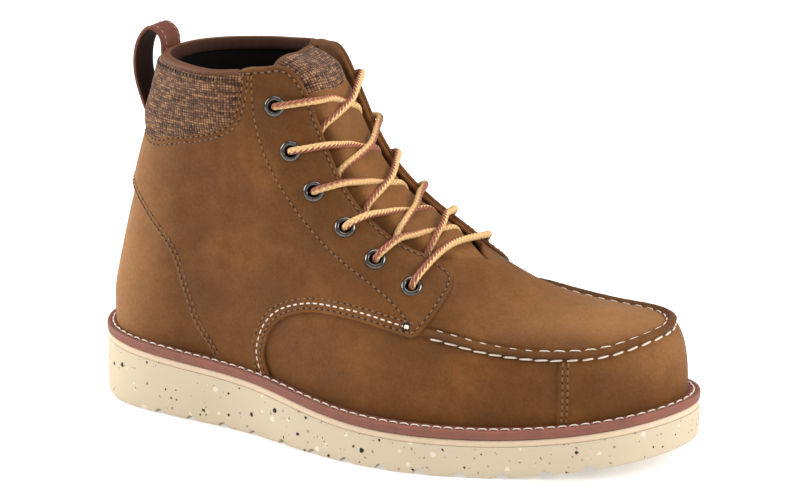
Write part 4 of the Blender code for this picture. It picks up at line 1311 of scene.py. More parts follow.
class BOOT_OT_sole(BootOperator):
    """Builds the speckled wedge outsole with its lugs, the pale layer over it and the welt."""
    bl_idname = "boot.sole"
    bl_label = "Sole and welt"

    def execute(self, context):
        add_outsole()
        add_midsole()
        add_welt()
        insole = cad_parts["insole"]
        insole.data.materials.clear()
        insole.data.materials.append(finish_of("lining"))
        return {"FINISHED"}


# Side of the outsole from the tread up: inset, share of the tread's own inset, share of the height.
OUTSOLE_SIDE = [(2.2, 1.0, 0.0), (1.0, 1.0, 0.015), (0.35, 1.0, 0.045), (0.0, 0.9, 0.11), (-0.05, 0.65, 0.3),
                (0.0, 0.35, 0.5), (0.05, 0.15, 0.7), (0.1, 0.05, 0.86), (0.25, 0.0, 0.96), (0.5, 0.0, 0.993),
                (1.0, 0.0, 1.0)]


def add_outsole():
    """The wedge of foamed rubber, with the slots between its lugs cut out."""
    tread = tread_curve(SOLE_COLUMNS)[:, 0]
    rings = []
    for drawn_in, share, rise in OUTSOLE_SIDE:
        rings.append(outline_at(drawn_in + share * tread, lambda x, rise=rise: ground(x) + rise * (
            sole_top(x) - MIDSOLE_HEIGHT - LAYER_GAP - ground(x))))
    faces = plate_faces(len(rings), len(SOLE_COLUMNS))
    obj = add_piece("outsole_body", np.concatenate(rings), faces, [finish_of("rubber")], "foam_rubber",
                    ["outsole"])
    cutter = slot_cutter()
    cut = obj.modifiers.new("slots", "BOOLEAN")
    cut.operation = "DIFFERENCE"
    cut.object = cutter
    cut.solver = "EXACT"
    bpy.context.view_layer.update()
    made = bpy.data.meshes.new_from_object(obj.evaluated_get(bpy.context.evaluated_depsgraph_get()))
    obj.modifiers.clear()
    obj.data = made
    bpy.data.objects.remove(cutter)
    made.shade_smooth()
    made.set_sharp_from_angle(angle=SHARP_ANGLE)


def slot_cutter():
    """Rounded slots cut in from both sides between the lugs of the tread edge."""
    slots = bmesh.new()
    outer = np.linspace(0, TOE, 601)
    outer_x = edge_curve(outer)[:, 0]
    for number in range(LUG_COUNT):
        x = LUG_FIRST + number * LUG_PITCH
        station = np.interp(x, outer_x, outer)
        for s in (np.array([station]), np.array([RING - station])):
            normal = edge_normals(s)[0]
            place = np.append(edge_curve(s)[0], ground(x))
            turn = np.eye(4)
            turn[:3, 0] = np.array([-normal[1], normal[0], 0]) * LUG_SLOT_WIDTH / 2 * MM
            turn[:3, 1] = np.array([0, 0, LUG_SLOT_HEIGHT]) * MM
            turn[:3, 2] = np.append(normal, 0) * MM
            turn[:3, 3] = (place - ORIGIN) * MM
            bmesh.ops.create_cone(slots, cap_ends=True, segments=SLOT_SEGMENTS, radius1=1, radius2=1,
                                  depth=2 * LUG_SLOT_DEPTH, matrix=Matrix(turn.tolist()))
    mesh = bpy.data.meshes.new("slots")
    slots.to_mesh(mesh)
    slots.free()
    return add_object("slots", mesh)


# The pale layer's section from its lower edge up: inset and share of its height.
MIDSOLE_SECTION = [(0.8, 0.0), (0.55, 0.07), (0.5, 0.4), (0.5, 0.6), (0.62, 0.88), (1.0, 1.0)]


def add_midsole():
    """The pale layer: inset from the welt, with both corners eased."""
    rings = [outline_at(drawn_in, lambda x, share=share: sole_top(x) - GAP - (1 - share) * MIDSOLE_HEIGHT)
             for drawn_in, share in MIDSOLE_SECTION]
    add_piece("midsole_layer", np.concatenate(rings), plate_faces(len(rings), len(SOLE_COLUMNS)),
              [finish_of("layer")], "midsole_foam", ["midsole"])


# The welt's section from its lower edge round to the wall: inset and share of its height.
WELT_SECTION = [(0.8, 0.0), (0.3, 0.05), (0.05, 0.2), (0.0, 0.42), (0.12, 0.5), (0.0, 0.58), (0.08, 0.8),
                (0.35, 0.94), (0.9, 1.0), (1.7, 1.02), (2.4, 0.97), (3.0, 0.9), (3.6, 0.97)]


def add_welt():
    """The welt: a closed strip round the sole with a groove for its stitches."""
    inner = welt_curve(SOLE_COLUMNS)[:, 0] + WELT_INSIDE
    corners = [*WELT_SECTION, (inner, 1.0), (inner, 0.0)]
    rings = [outline_at(np.minimum(drawn_in, inner), lambda x, share=share: sole_top(x) + share * WELT_HEIGHT)
             for drawn_in, share in corners]
    faces = grid_faces(len(rings) + 1, len(SOLE_COLUMNS), True)
    count = len(rings) * len(SOLE_COLUMNS)
    faces = [[corner % count for corner in face] for face in faces]
    add_piece("welt_strip", np.concatenate(rings), faces, [finish_of("welt")], "welt_leather", ["welt"])


# Upper.

def seam_fade(s):
    """1 where the moccasin seam stands up, 0 behind it."""
    return smooth((TOE - SEAM_START - np.abs(np.mod(s, RING) - TOE)) / SEAM_FADE)


shift_curve = natural_spline([row[0] for row in SEAM_SHIFT], [[row[1]] for row in SEAM_SHIFT])


def seam_shift(s):
    """How far the moccasin seam lies above its level, in millimetres."""
    s = np.clip(np.mod(s, RING), SEAM_SHIFT[0][0], SEAM_SHIFT[-1][0])
    return shift_curve(s.ravel())[:, 0].reshape(s.shape)


def seam_level(s):
    """Level of the moccasin seam."""
    return SEAM_LEVEL + seam_shift(s) / np.linalg.norm(read(UP, s, SEAM_LEVEL), axis=-1)


def seam_offset(st):
    """How far above the moccasin seam a place lies, in millimetres over the surface."""
    return read(FROM_SEAM, st[..., 0], st[..., 1])[..., 0] - seam_shift(st[..., 0])


def toe_seam(t):
    """Station of the toe piece's edge, which leans forward under the moccasin seam."""
    return TOE_SEAM + TOE_LEAN * np.maximum(0, (t - TOE_LEAN_START) / TOE_LEAN_REACH) ** 2


def upper_relief(st):
    """Height of the seams and steps that stand on the last."""
    s, t = st[..., 0], st[..., 1]
    off = seam_offset(st)
    rib = smooth((SEAM_HALF - np.abs(off)) / SEAM_SHOULDER)
    way = np.mod(s, RING) * STATION_MM * 2 * np.pi / MOC_PITCH
    pucker = 1 - SEAM_PUCKER * (0.5 + 0.5 * np.cos(way)) * np.clip(np.abs(off) / SEAM_HALF, 0, 1)
    rib = SEAM_HEIGHT * rib * pucker * (1 - SEAM_TILT * off)
    groove = GROOVE_DEPTH * np.exp(-((np.abs(off) - SEAM_HALF - GROOVE_PLACE) / GROOVE_WIDTH) ** 2)
    along = np.linalg.norm(read(ALONG, s, t), axis=-1)
    front = TOE - np.abs(np.mod(s, RING) - TOE) - toe_seam(t)
    below = smooth((-off - SEAM_HALF + 0.8) / 1.6)
    step = TOE_STEP * smooth(front * along / TOE_STEP_WIDTH + 0.5) * below
    return seam_fade(s) * (rib - groove) + step


def wear_and_highlight_tone(points):
    """Where the leather is paler: back of the heel, the toe and the front of the apron, partly from wear and
    partly a painted highlight.
    """
    x, z = points[..., 0], points[..., 2]
    heel = fade(x, 66, 16) * 0.46
    toe = fade(x, 268, 308) * fade(z, 36, 58) * 0.24
    apron = fade(x, 205, 275) * fade(z, 60, 68) * 0.34
    return np.clip(heel + np.maximum(toe, apron), 0, 1)


def eyestay_dark_tone(points):
    """Where the leather is darker: the eyestays, in front of the seam that holds them."""
    x, z = points[..., 0], points[..., 2]
    line = np.array([*EYESTAY_LINE, (202, 58)])
    return 0.26 * fade(z - np.interp(x, line[:, 0], line[:, 1]), 0, 9) * fade(x, 99, 105)


def rib_shade_share(st):
    """1 on the moccasin rib, where the pinched leather is painted darker as shade, and 0 beside it."""
    return seam_fade(st[..., 0]) * smooth((SEAM_HALF + 0.5 - np.abs(seam_offset(st))) / 0.9)


# Rows of points on each side of the moccasin seam, and how far from it, in levels, rows follow its shift.
RIB_ROWS = np.array([0.3, 0.24, 0.2, 0.17, 0.145, 0.125, 0.11, 0.095, 0.08, 0.065, 0.05, 0.035, 0.02, 0.0])
RIB_REACH = 0.5
# Inner face of the facings, which is leather: middle and half length in stations, and lowest level.
FACING_MIDDLE = 6.0
FACING_HALF = 2.45
FACING_FOOT = 4.2
UPPER_OPENING = 3.6       # radii of the openings for the eyelets in the upper and in the quarters
QUARTER_HOLE = 3.0


def upper_grid():
    """Stations and levels of the upper's points, close together at the toe seams and on the rib."""
    fine = np.arange(TOE_SEAM - 0.05, TOE_SEAM + 0.28, 0.012)
    columns = np.concatenate([np.arange(0, RING, 0.1), fine, RING - fine])
    levels = np.concatenate([
        np.linspace(0, 1, 4), np.linspace(1, 2, 9), np.linspace(2, 2.7, 12), SEAM_LEVEL - RIB_ROWS,
        SEAM_LEVEL + RIB_ROWS, np.linspace(3.3, 4, 14), np.linspace(4, 5, 20)])
    st = np.stack(np.meshgrid(np.unique(np.round(columns, 4)), np.unique(np.round(levels, 4))), -1)
    near = np.exp(-((st[..., 1] - SEAM_LEVEL) / RIB_REACH) ** 2)
    st[..., 1] += (seam_level(st[..., 0]) - SEAM_LEVEL) * near
    return st


class BOOT_OT_upper(BootOperator):
    """Builds the leather upper with its moccasin seam and toe seams, lined in black."""
    bl_idname = "boot.upper"
    bl_label = "Upper"

    def execute(self, context):
        st = upper_grid()
        points = last(st, upper_relief(st) + leather_swell(last(st))).reshape(-1, 3)
        faces = np.array(grid_faces(*st.shape[:2], True))
        open_face = np.zeros(len(faces), bool)
        for side in SIDES:
            for place in EYELET_PLACES[side]:
                near = np.linalg.norm(points - last(place), axis=1) < UPPER_OPENING
                open_face |= near[faces].any(1)
        faces = faces[~open_face]
        leather, lining = finish_of("nubuck"), finish_of("lining")
        # Painted shade on the moccasin rib: darker there, and without the paler wear and painted highlight.
        rib_painted_shade = rib_shade_share(st).ravel()
        rubbed = wear_and_highlight_tone(points) * (1 - 0.8 * rib_painted_shade) - 0.3 * rib_painted_shade
        obj = add_piece("upper_shell", points, faces.tolist(), [leather, lining, leather, leather], "nubuck",
                        ["upper"], {"rubbed": rubbed}, merge=True)
        s, t = st.reshape(-1, 2)[faces[:, 0]].T
        facing = (np.abs(np.abs(s - TOE) - FACING_MIDDLE) < FACING_HALF) & (t > FACING_FOOT)
        set_faces(obj, np.where(facing, 2, 0))
        thicken(obj, LEATHER, inner=1)
        return {"FINISHED"}


QUARTER_TUCK = 0.4        # how far the quarters' edge lies in the upper, and its rounding
QUARTER_ROUND = 1.1


class BOOT_OT_quarters(BootOperator):
    """Builds the two quarters with their eyestays over vamp, heel and cuff."""
    bl_idname = "boot.quarters"
    bl_label = "Quarters"

    def execute(self, context):
        for side in SIDES:
            holes = [(place, QUARTER_HOLE) for place in EYELET_PLACES[side]]
            st, faces, edge = panel_mesh(quarter_outline(side), holes)
            base = last(st)
            height = GAP + OVERLAY + QUARTER_TUCK
            lift = -QUARTER_TUCK + height * rounded(edge, QUARTER_ROUND) + leather_swell(base)
            lift = lift - sewn_in(base, quarter_seams(side))
            # Paler at heel, toe and apron front (wear and painted highlight), darker at the eyestays, and
            # paler along the edge: partly the raw cut edge, partly a painted highlight on its rounding.
            rubbed = wear_and_highlight_tone(base) - eyestay_dark_tone(base) + 0.10 * np.exp(-((edge - 0.8) / 0.6) ** 2)
            obj = add_piece(f"quarter_panel_{side}", last(st, lift), faces, [finish_of("nubuck")], "nubuck",
                            [f"quarter_{side}"], {"rubbed": rubbed})
            thicken(obj, OVERLAY)
        return {"FINISHED"}


# Rows of fine thread on a quarter: the line they follow, and how far to its left.
QUARTER_ROWS = [("wing", 2.1), ("wing", 6.7), ("counter", 1.9), ("counter", 4.0), ("cuff", -2.0),
                ("cuff", -4.4), ("eyestay", 0.0), ("front", 2.4)]


def quarter_seams(side):
    """The lines that fine thread is sewn along on one quarter."""
    seams = SEAMS[side]
    lines = {**seams._asdict(), "front": spaced(np.concatenate([seams.tab, seams.throat[::-1]]), PANEL_STEP)}
    for name in ("wing", "counter"):
        lines[name] = lines[name][lines[name][:, 1] > SEWN_FOOT]
    return [inset(lines[name], outward(side) * distance) for name, distance in QUARTER_ROWS]


class BOOT_OT_cuff(BootOperator):
    """Builds the padded knit cuff and the rolled binding on its rim."""
    bl_idname = "boot.cuff"
    bl_label = "Cuff and binding"

    def execute(self, context):
        add_cuff()
        add_binding()
        return {"FINISHED"}


BINDING_FALL = 2.3        # how far the binding reaches down outside, and how much more at the back
BINDING_FALL_BACK = 1.9
BINDING_TUCK_IN = 3.6     # how far its ends are tucked in and down, and how uneven its roll is
BINDING_TUCK_DOWN = 2.0
BINDING_UNEVEN = 0.02


def crest_height(s):
    """Height of the binding's crest over the rim, which climbs to the eyestay while the crest stays level."""
    return CREST_Z + CREST_RISE * fade(np.abs(s), 3.0, 3.7) - read(SURFACE, s, TOP_LEVEL)[..., 2]


def binding_fall(s):
    """How far the binding reaches down outside, most at the back of the collar."""
    return BINDING_FALL + BINDING_FALL_BACK * fade(np.abs(s), 2.6, 0)


CUFF_SWELL = 3.0          # how far the padding stands out at the sides, and how much more at back and binding
CUFF_SWELL_BACK = 2.2
CUFF_SWELL_TOP = 1.6
CUFF_ROUND = 10.0
CUFF_INSET = 2.0          # how far the knit goes on under the quarters
CUFF_LEVEL = 4.6          # level along which the knit's wales are counted, and the stations they reach to
CUFF_STATIONS = 6
MARK_START = 500.0        # keeps the knit's marks above zero


def cuff_points(st, edge):
    """Places on the cuff, swollen between the leather's edge and the binding, most at the heel's back."""
    s, t = st.T
    swell = (CUFF_SWELL + CUFF_SWELL_BACK * fade(np.abs(s), 1.8, 0)) * rounded(edge, CUFF_ROUND)
    swell += CUFF_SWELL_TOP * fade(t, 4.8, 5.0)
    points = last(st, 0.3 + swell + 0.2 * waves(last(st), 12.0, 4))
    climb = np.maximum(0, crest_height(s) - binding_fall(s) + 0.6)
    points[:, 2] += climb * fade(t, 4.6, 5.0)
    return points


def add_cuff():
    """Knit stretched over padding."""
    near = inset(SEAMS["lateral"].cuff, -CUFF_INSET)
    far = inset(SEAMS["medial"].cuff, CUFF_INSET)
    far[:, 0] = far[:, 0] - RING
    near[:, 0] = np.where(near[:, 0] > TOE, near[:, 0] - RING, near[:, 0])
    far[:, 0] = np.where(far[:, 0] < -TOE, far[:, 0] + RING, far[:, 0])
    near, far = near[near[:, 0] > 0.02], far[far[:, 0] < -0.02]
    rim = at_level(np.linspace(near[-1, 0], far[-1, 0], 200))
    st, faces, edge = panel_mesh(np.concatenate([near, rim[1:-1], far[::-1]]))
    points = cuff_points(st, edge)
    columns = CUFF_STATIONS * PER_STATION
    lengths = run_along(SURFACE[int(CUFF_LEVEL * PER_LEVEL), :columns])
    run = np.interp(np.abs(st[:, 0]), LATTICE_S[:columns], lengths)
    marks = {"wale": np.sign(st[:, 0]) * run + MARK_START, "course": points[:, 2]}
    obj = add_piece("cuff_knit", points, faces, [finish_of("knit")], "knit", ["knit_cuff"], marks)


# The binding's section from its outer edge over the crest and down inside: out from the rim, and down from
# the crest as a share of the fall outside, or in millimetres inside.
BINDING_OUTSIDE = [(1.7, 1.25), (2.75, 1.0), (3.0, 0.72), (2.75, 0.38), (2.1, 0.14), (1.1, 0.02)]
BINDING_INSIDE = [(0.0, 0.0), (-1.3, 0.25), (-2.4, 0.95), (-3.0, 2.1), (-3.2, 3.8), (-3.4, 5.6), (-2.9, 5.9),
                  (-2.5, 4.2)]


def add_binding():
    """Leather rolled over the collar's rim, its ends tucked in behind the eyestays."""
    columns = np.linspace(-BINDING_END - BINDING_HIDDEN, BINDING_END + BINDING_HIDDEN, 240)
    rim_st = at_level(columns)
    rim = last(rim_st)
    out = last(rim_st, 1.0) - rim
    out[:, 2] = 0
    out = unit(out)
    tuck = smooth((np.abs(columns) - BINDING_END + 0.03) / 0.14)
    crest = rim + np.outer(crest_height(columns) - BINDING_TUCK_DOWN * tuck, [0, 0, 1.0])
    number = np.arange(len(columns))
    uneven = 1 + BINDING_UNEVEN * np.sin(number * 0.9) + BINDING_UNEVEN * np.sin(number * 0.37)
    section = [(sideways, down * binding_fall(columns)) for sideways, down in BINDING_OUTSIDE]
    section += [(sideways, np.full(len(columns), down)) for sideways, down in BINDING_INSIDE]
    points = np.stack([crest + out * (sideways * uneven - BINDING_TUCK_IN * tuck)[:, None]
                       - np.outer(down, [0, 0, 1.0]) for sideways, down in section], 1)
    count, sides = points.shape[:2]
    obj = add_piece("binding_roll", points.reshape(-1, 3), tube_faces(count, sides),
                    [finish_of("trim"), finish_of("inner")], "smooth_leather", ["collar_binding"])
    # The binding's inner side gets the dark inner leather as painted shade.
    kinds = np.tile(np.arange(sides) > len(BINDING_OUTSIDE), count - 1)
    set_faces(obj, np.append(kinds, [0, 0]))


def tongue_grid():
    """Rows of points over the tongue from foot to top, and the distance of each row along its middle."""
    stations = np.linspace(TONGUE_FOOT, THROAT_HEAD, 60)
    shares = np.linspace(-1, 1, 49)
    sections = [throat_section(s) for s in stations]
    mid = np.array([curve(shares * (half + TONGUE_TUCK)) for curve, half in sections])
    depth = np.array([tongue_depth(shares * (half + TONGUE_TUCK), half) for _, half in sections])
    rows = mid - grid_normals(mid) * depth[..., None]
    ahead = unit(rows[-1] - rows[-2])
    reach = TONGUE_OUT * (1 - np.abs(shares) ** 3)[:, None]
    bend = rows[-1] + unit(ahead + TONGUE_LEAN) * reach / 2
    tip = bend + TONGUE_LEAN * reach / 2
    share = np.linspace(0, 1, 21)[1:, None, None]
    curl = (1 - share) ** 2 * rows[-1] + 2 * share * (1 - share) * bend + share**2 * tip
    points = np.concatenate([(rows[0] + TONGUE_TOE)[None], rows, curl])
    return points, run_along(points[:, len(shares) // 2])


TONGUE_STEP = 0.9         # how far the tongue's leather stands over the knit
TONGUE_HALF = 30.0
TONGUE_COVERED = 1.4      # how much lower it lies under the facings
TONGUE_BOUND = 2.0        # width of its bound edge


class BOOT_OT_tongue(BootOperator):
    """Builds the tongue: leather under the lace, knit with a bound edge at the top."""
    bl_idname = "boot.tongue"
    bl_label = "Tongue"

    def execute(self, context):
        points, run = tongue_grid()
        count, width = points.shape[:2]
        below = run[-1] - TONGUE_KNIT - run
        overlap = TONGUE_STEP * smooth(below / 0.8 + 0.5) - TONGUE_STEP
        side = np.broadcast_to(np.linspace(-TONGUE_HALF, TONGUE_HALF, width), (count, width))
        # Under the facings the tongue lies lower, and painted shade darkens its leather there; elsewhere it
        # is a little paler.
        covered = fade(np.abs(side), 11, 17) * fade(below[:, None], 4, 12)
        drop = overlap[:, None] + 0.35 * waves(points, 15.0, 6) - TONGUE_COVERED * covered
        points = points + grid_normals(points) * drop[..., None]
        faces = [face[::-1] for face in grid_faces(count, width)]
        marks = {"wale": side.ravel() + MARK_START, "course": np.repeat(run, width),
                 "rubbed": (0.12 - 0.5 * covered).ravel()}
        finishes = [finish_of("nubuck"), finish_of("knit"), finish_of("trim")]
        obj = add_piece("tongue_pad", points.reshape(-1, 3), faces, finishes, "nubuck", ["tongue"], marks)
        above = np.repeat(run[-1] - run[:-1], width - 1)
        kind = np.where(above < TONGUE_KNIT, 1, 0)
        set_faces(obj, np.where(above < TONGUE_BOUND, 2, kind))
        thicken(obj, TONGUE_THICK)
        return {"FINISHED"}


def loop_run():
    """Middle line of the pull loop's strap in the side view, and its directions outwards."""
    curve, chord = chord_spline(LOOP_PATH)
    run = curve(np.linspace(0, chord[-1], 110))
    along = unit(np.gradient(run, axis=0))
    return run, np.stack([-along[:, 1], along[:, 0]], -1)


LOOP_ROW = 2.2            # distance of the loop's stitched rows from its edges, and how far they draw it in
LOOP_DRAWN = 0.15
LOOP_EASE = 0.5


class BOOT_OT_loop(BootOperator):
    """Builds the pull loop: a folded leather strap at the back of the collar."""
    bl_idname = "boot.loop"
    bl_label = "Pull loop"

    def execute(self, context):
        run, out = loop_run()
        half, thick, ease = LOOP_WIDTH / 2, LOOP_THICK / 2, LOOP_EASE
        row, drawn = half - LOOP_ROW, thick - LOOP_DRAWN
        section = [(-half, -thick + ease), (-half + ease, -thick), (-row, -thick), (0, -thick), (row, -thick),
                   (half - ease, -thick), (half, -thick + ease), (half, thick - ease), (half - ease, thick),
                   (row, drawn), (0, thick), (-row, drawn), (-half + ease, thick), (-half, thick - ease)]
        points = np.array([[(x + nx * h, y, z + nz * h) for y, h in section]
                           for (x, z), (nx, nz) in zip(run, out)])
        count, sides = points.shape[:2]
        obj = add_piece("loop_strap", points.reshape(-1, 3), tube_faces(count, sides),
                        [finish_of("loop"), finish_of("inner")], "smooth_leather", ["pull_loop"])
        # The strap's inner face gets the dark inner leather as painted shade.
        kinds = np.tile(np.arange(sides) < sides // 2 - 1, count - 1)
        set_faces(obj, np.append(kinds, [0, 0]))
        return {"FINISHED"}


# Turned profile of an eyelet: radius and height over the leather.
EYELET_PROFILE = [(2.5, -4.0), (2.6, -0.4), (2.75, 0.3), (3.0, 0.68), (3.35, 0.86), (3.75, 0.88), (4.2, 0.74),
                  (4.6, 0.48), (4.85, 0.16), (4.95, -0.2)]


def eyelet_frame(place):
    """Where an eyelet stands: its middle, and two directions in its plane with the normal."""
    low = last(place, EYELET_SEAT)
    normal = unit(read(NORMAL, *place))
    along = unit(read(ALONG, *place))
    return low, along, np.cross(normal, along), normal


class BOOT_OT_eyelets(BootOperator):
    """Turns the twelve metal eyelets and sets them in the eyestays."""
    bl_idname = "boot.eyelets"
    bl_label = "Eyelets"

    def execute(self, context):
        sides = 40
        radius, height = np.array(EYELET_PROFILE).T
        for side in SIDES:
            for number, place in enumerate(EYELET_PLACES[side], 1):
                low, along, up, normal = eyelet_frame(place)
                ring = circle(sides, along, up)
                points = low + radius[:, None, None] * ring + (height[:, None] * normal)[:, None]
                faces = [face[::-1] for face in grid_faces(len(radius), sides, True)]
                add_piece(f"eyelet_ring_{side}_{number}", points.reshape(-1, 3), faces, [finish_of("metal")],
                          "gunmetal", [f"eyelet_{side}_{number}"])
        return {"FINISHED"}


# Lace: distance of its rings, points round each, its braid, and the direction in which a strand shows.
LACE_RING_STEP = 0.45
LACE_ROUND = 16
BRAID_YARNS = 4
BRAID_PITCH = 3.0
BRAID_LOW = 0.93          # radius between its yarns as a share, and how much their middles add
BRAID_HIGH = 0.09
LACE_SHOWN = np.array([0.35, -0.75, 0.55])
LACE_CLEAR = 0.45         # between a strand and the tongue
# Turn of the stripes on each crossing's two strands, from the collar down, and on the bottom run.
UNDER_PHASES = (0.48, 0.96, 0.40, 0.97, 0.45)
OVER_PHASES = (0.92, 0.42, 0.93, 0.43, 0.92)
BAR_PHASE = 0.05
# Ways of the two strands of a crossing, from under one facing up to the edge of the other: share of the way
# up to the next eyelet, place across the throat as a share of its half width, and lift in millimetres.
UNDER_WAY = [(-0.14, -1.16, 0.0), (-0.07, -0.98, 0.0), (0.05, -0.76, 0.0), (0.28, -0.38, 0.0),
             (0.48, -0.04, 0.0), (0.62, 0.31, 0.2)]
OVER_WAY = [(-0.06, -1.16, 0.0), (0.02, -0.98, 0.0), (0.11, -0.78, 0.0), (0.26, -0.44, 0.6),
            (0.37, -0.22, 2.2), (0.47, 0.02, 3.5), (0.62, 0.36, 4.1)]
# Share of the way up at which each crossing passes over the outer facing's edge, -1, and the inner one's, 1.
EDGE_SHARE = {-1: (0.77, 0.86, 0.87, 0.86, 0.83), 1: (0.90, 0.92, 0.93, 0.87, 0.80)}
# How much lower each crossing hangs than the one above it, as a share of the step between them.
LACE_SAG = 0.066
# Stations in front of its eyelets that the bottom run crosses at: outer edge, middle and inner edge.
BAR_LEAD = (0.25, 0.35, 0.5)
BAR_LIFT = 2.4
# A lace's way into an eyelet: out from its middle towards where the lace comes from, and height over it.
EYELET_DIVE = [(5.2, 2.35), (2.6, 2.2), (0.6, 0.6), (-0.2, -2.0), (0.0, -5.0)]


def lace_radius():
    """Half the lace's diameter in millimetres."""
    return bpy.context.scene.boot_sizes.lace / MM / 2


def lace_mesh(route, phase, start):
    """Points, faces and marks of one braided run along a smooth curve through the route."""
    curve, chord = chord_spline(route)
    path = curve(np.arange(0, chord[-1], LACE_RING_STEP))
    along = unit(np.gradient(path, axis=0))
    side = [unit(np.cross(along[0], [0.3, 0.0, 1.0]))]
    for direction in along[1:]:
        side.append(unit(side[-1] - direction * np.dot(side[-1], direction)))
    side = np.array(side)
    up = np.cross(along, side)
    turn = np.arange(LACE_ROUND + 1) / LACE_ROUND
    run = np.arange(len(path)) * LACE_RING_STEP
    middle = len(path) // 2
    shown = math.atan2(np.dot(LACE_SHOWN, up[middle]), np.dot(LACE_SHOWN, side[middle])) / (2 * math.pi)
    weave = np.abs(np.sin(np.pi * (BRAID_YARNS * turn[None] + run[:, None] / BRAID_PITCH)))
    weave *= np.abs(np.sin(np.pi * (BRAID_YARNS * turn[None] - run[:, None] / BRAID_PITCH)))
    yarn = np.sqrt(weave)
    size = lace_radius() * (BRAID_LOW + BRAID_HIGH * yarn)
    angle = turn * 2 * np.pi
    ring = np.cos(angle)[None, :, None] * side[:, None] + np.sin(angle)[None, :, None] * up[:, None]
    points = (path[:, None] + size[..., None] * ring).reshape(-1, 3)
    faces = grid_faces(len(path), LACE_ROUND + 1, False, start)
    marks = {"turn": np.tile(turn - shown + phase + 1.0, len(path)), "yarn": yarn.ravel(),
             "run": np.repeat(run - run[middle] + 2 * LACE_WIND, LACE_ROUND + 1)}
    return points, faces, marks


def into_eyelet(place, toward):
    """Points of a lace that comes over the eyestay and dives into an eyelet."""
    low, _, _, normal = eyelet_frame(place)
    flat_way = unit(toward - low - normal * np.dot(toward - low, normal))
    return [low + flat_way * out + normal * height for out, height in EYELET_DIVE]


def over_edge(s, sign):
    """Where a lace lies over the edge of a facing."""
    return over_throat(s, sign * (throat_section(s)[1] + 0.4), EYELET_SEAT + lace_radius() + 0.2)


def cross_route(number, sign, way):
    """A strand from under one facing at the lower eyelet, over the other facing into the next eyelet up."""
    high = EYELET_PLACES["medial" if sign > 0 else "lateral"][number]
    s_high = throat_station(last(EYELET_PLACES["lateral"][number]))
    s_low = throat_station(last(EYELET_PLACES["lateral"][number + 1]))
    route = []
    for share, across, lift in way:
        share = share - LACE_SAG * number * (1 - across) / 2
        s = s_low + share * (s_high - s_low)
        half = throat_section(s)[1]
        height = lace_radius() + LACE_CLEAR + lift - tongue_depth(across * half, half)
        route.append(over_throat(s, sign * across * half, height))
    edge = over_edge(s_low + EDGE_SHARE[sign][number] * (s_high - s_low), sign)
    route += [(route[-1] + edge) / 2, edge]
    return np.array(route + into_eyelet(high, edge))


def bar_route():
    """The bottom run, from eyelet to eyelet over the foot of the tongue."""
    near, far = EYELET_PLACES["lateral"][-1], EYELET_PLACES["medial"][-1]
    s = throat_station(last(near))
    across = [over_edge(s + BAR_LEAD[0], -1), over_throat(s + BAR_LEAD[1], 0.0, BAR_LIFT),
              over_edge(s + BAR_LEAD[2], 1)]
    start = into_eyelet(near, across[0])
    end = into_eyelet(far, across[-1])
    return np.array(start[::-1] + across + end)


class BOOT_OT_laces(BootOperator):
    """Runs the braided lace through the eyelets: a bar at the foot and five crossings up to the collar."""
    bl_idname = "boot.laces"
    bl_label = "Lace"

    def execute(self, context):
        lace = finish_of("lace")
        points, faces, marks = lace_mesh(bar_route(), BAR_PHASE, 0)
        add_piece("lace_base", points, faces, [lace], "lace", ["lace_bar"], marks)
        for number in range(len(EYELETS) - 1):
            under = lace_mesh(cross_route(number, -1, UNDER_WAY), UNDER_PHASES[number], 0)
            over = lace_mesh(cross_route(number, 1, OVER_WAY), OVER_PHASES[number], len(under[0]))
            points = np.concatenate([under[0], over[0]])
            marks = {key: np.concatenate([under[2][key], over[2][key]]) for key in under[2]}
            add_piece(f"lace_pair_{number + 1}", points, under[1] + over[1], [lace], "lace",
                      [f"lace_cross_{number + 1}"], marks)
        return {"FINISHED"}


class BOOT_OT_stitches(BootOperator):
    """Sews the visible seams: white thread on welt, wing and moccasin seam, brown thread elsewhere."""
    bl_idname = "boot.stitches"
    bl_label = "Stitches"

    def execute(self, context):
        fine = fine_runs()
        pieces = [("thread_brown", stitch_mesh([*fine, tongue_run()]), "brown"),
                  ("thread_dark", stitch_mesh([tick_run(), *tack_runs()]), "dark"),
                  ("thread_loop", stitch_mesh(loop_runs()), "rose"),
                  ("thread_white", stitch_mesh(white_runs()), "white"),
                  ("needle_holes", hole_mesh(fine), "hole")]
        for name, made, finish in pieces:
            add_piece(name, *made, [finish_of(finish)], "lace")
        return {"FINISHED"}


SEWN_LIFT = GAP + OVERLAY - 0.4
SEWN_AFTER = 0.35         # stations after the moccasin seam's start that its stitches begin at
WING_ROW = 4.4            # distance of the thick row from the wing's edge
MOC_SUNK = 1.1            # how far its upper row is drawn in on the outer side, up to these stations
MOC_SUNK_END = (9.75, 9.35)
WELT_GROOVE = 3.1         # distance of the groove from the welt's edge, and its height as a share
WELT_GROOVE_SHARE = 0.97


def fine_runs():
    """Runs of fine brown thread: the quarters' seams and the two seams beside the toe."""
    sizes = bpy.context.scene.boot_sizes
    pitch, width = sizes.stitch / MM, sizes.thread / MM
    runs = []
    for side in SIDES:
        runs += [sewn_on(line, SEWN_LIFT, pitch, pitch * 0.66, width) for line in quarter_seams(side)]
    t = np.linspace(0.95, 2.74, 60)
    for sign in (1, -1):
        line = np.column_stack([TOE + sign * (toe_seam(t) - TOE), t])
        for offset in (1.9, 4.2):
            runs.append(sewn_on(inset(line, -sign * offset), TOE_STEP - 0.2, pitch, pitch * 0.74, width))
    return runs


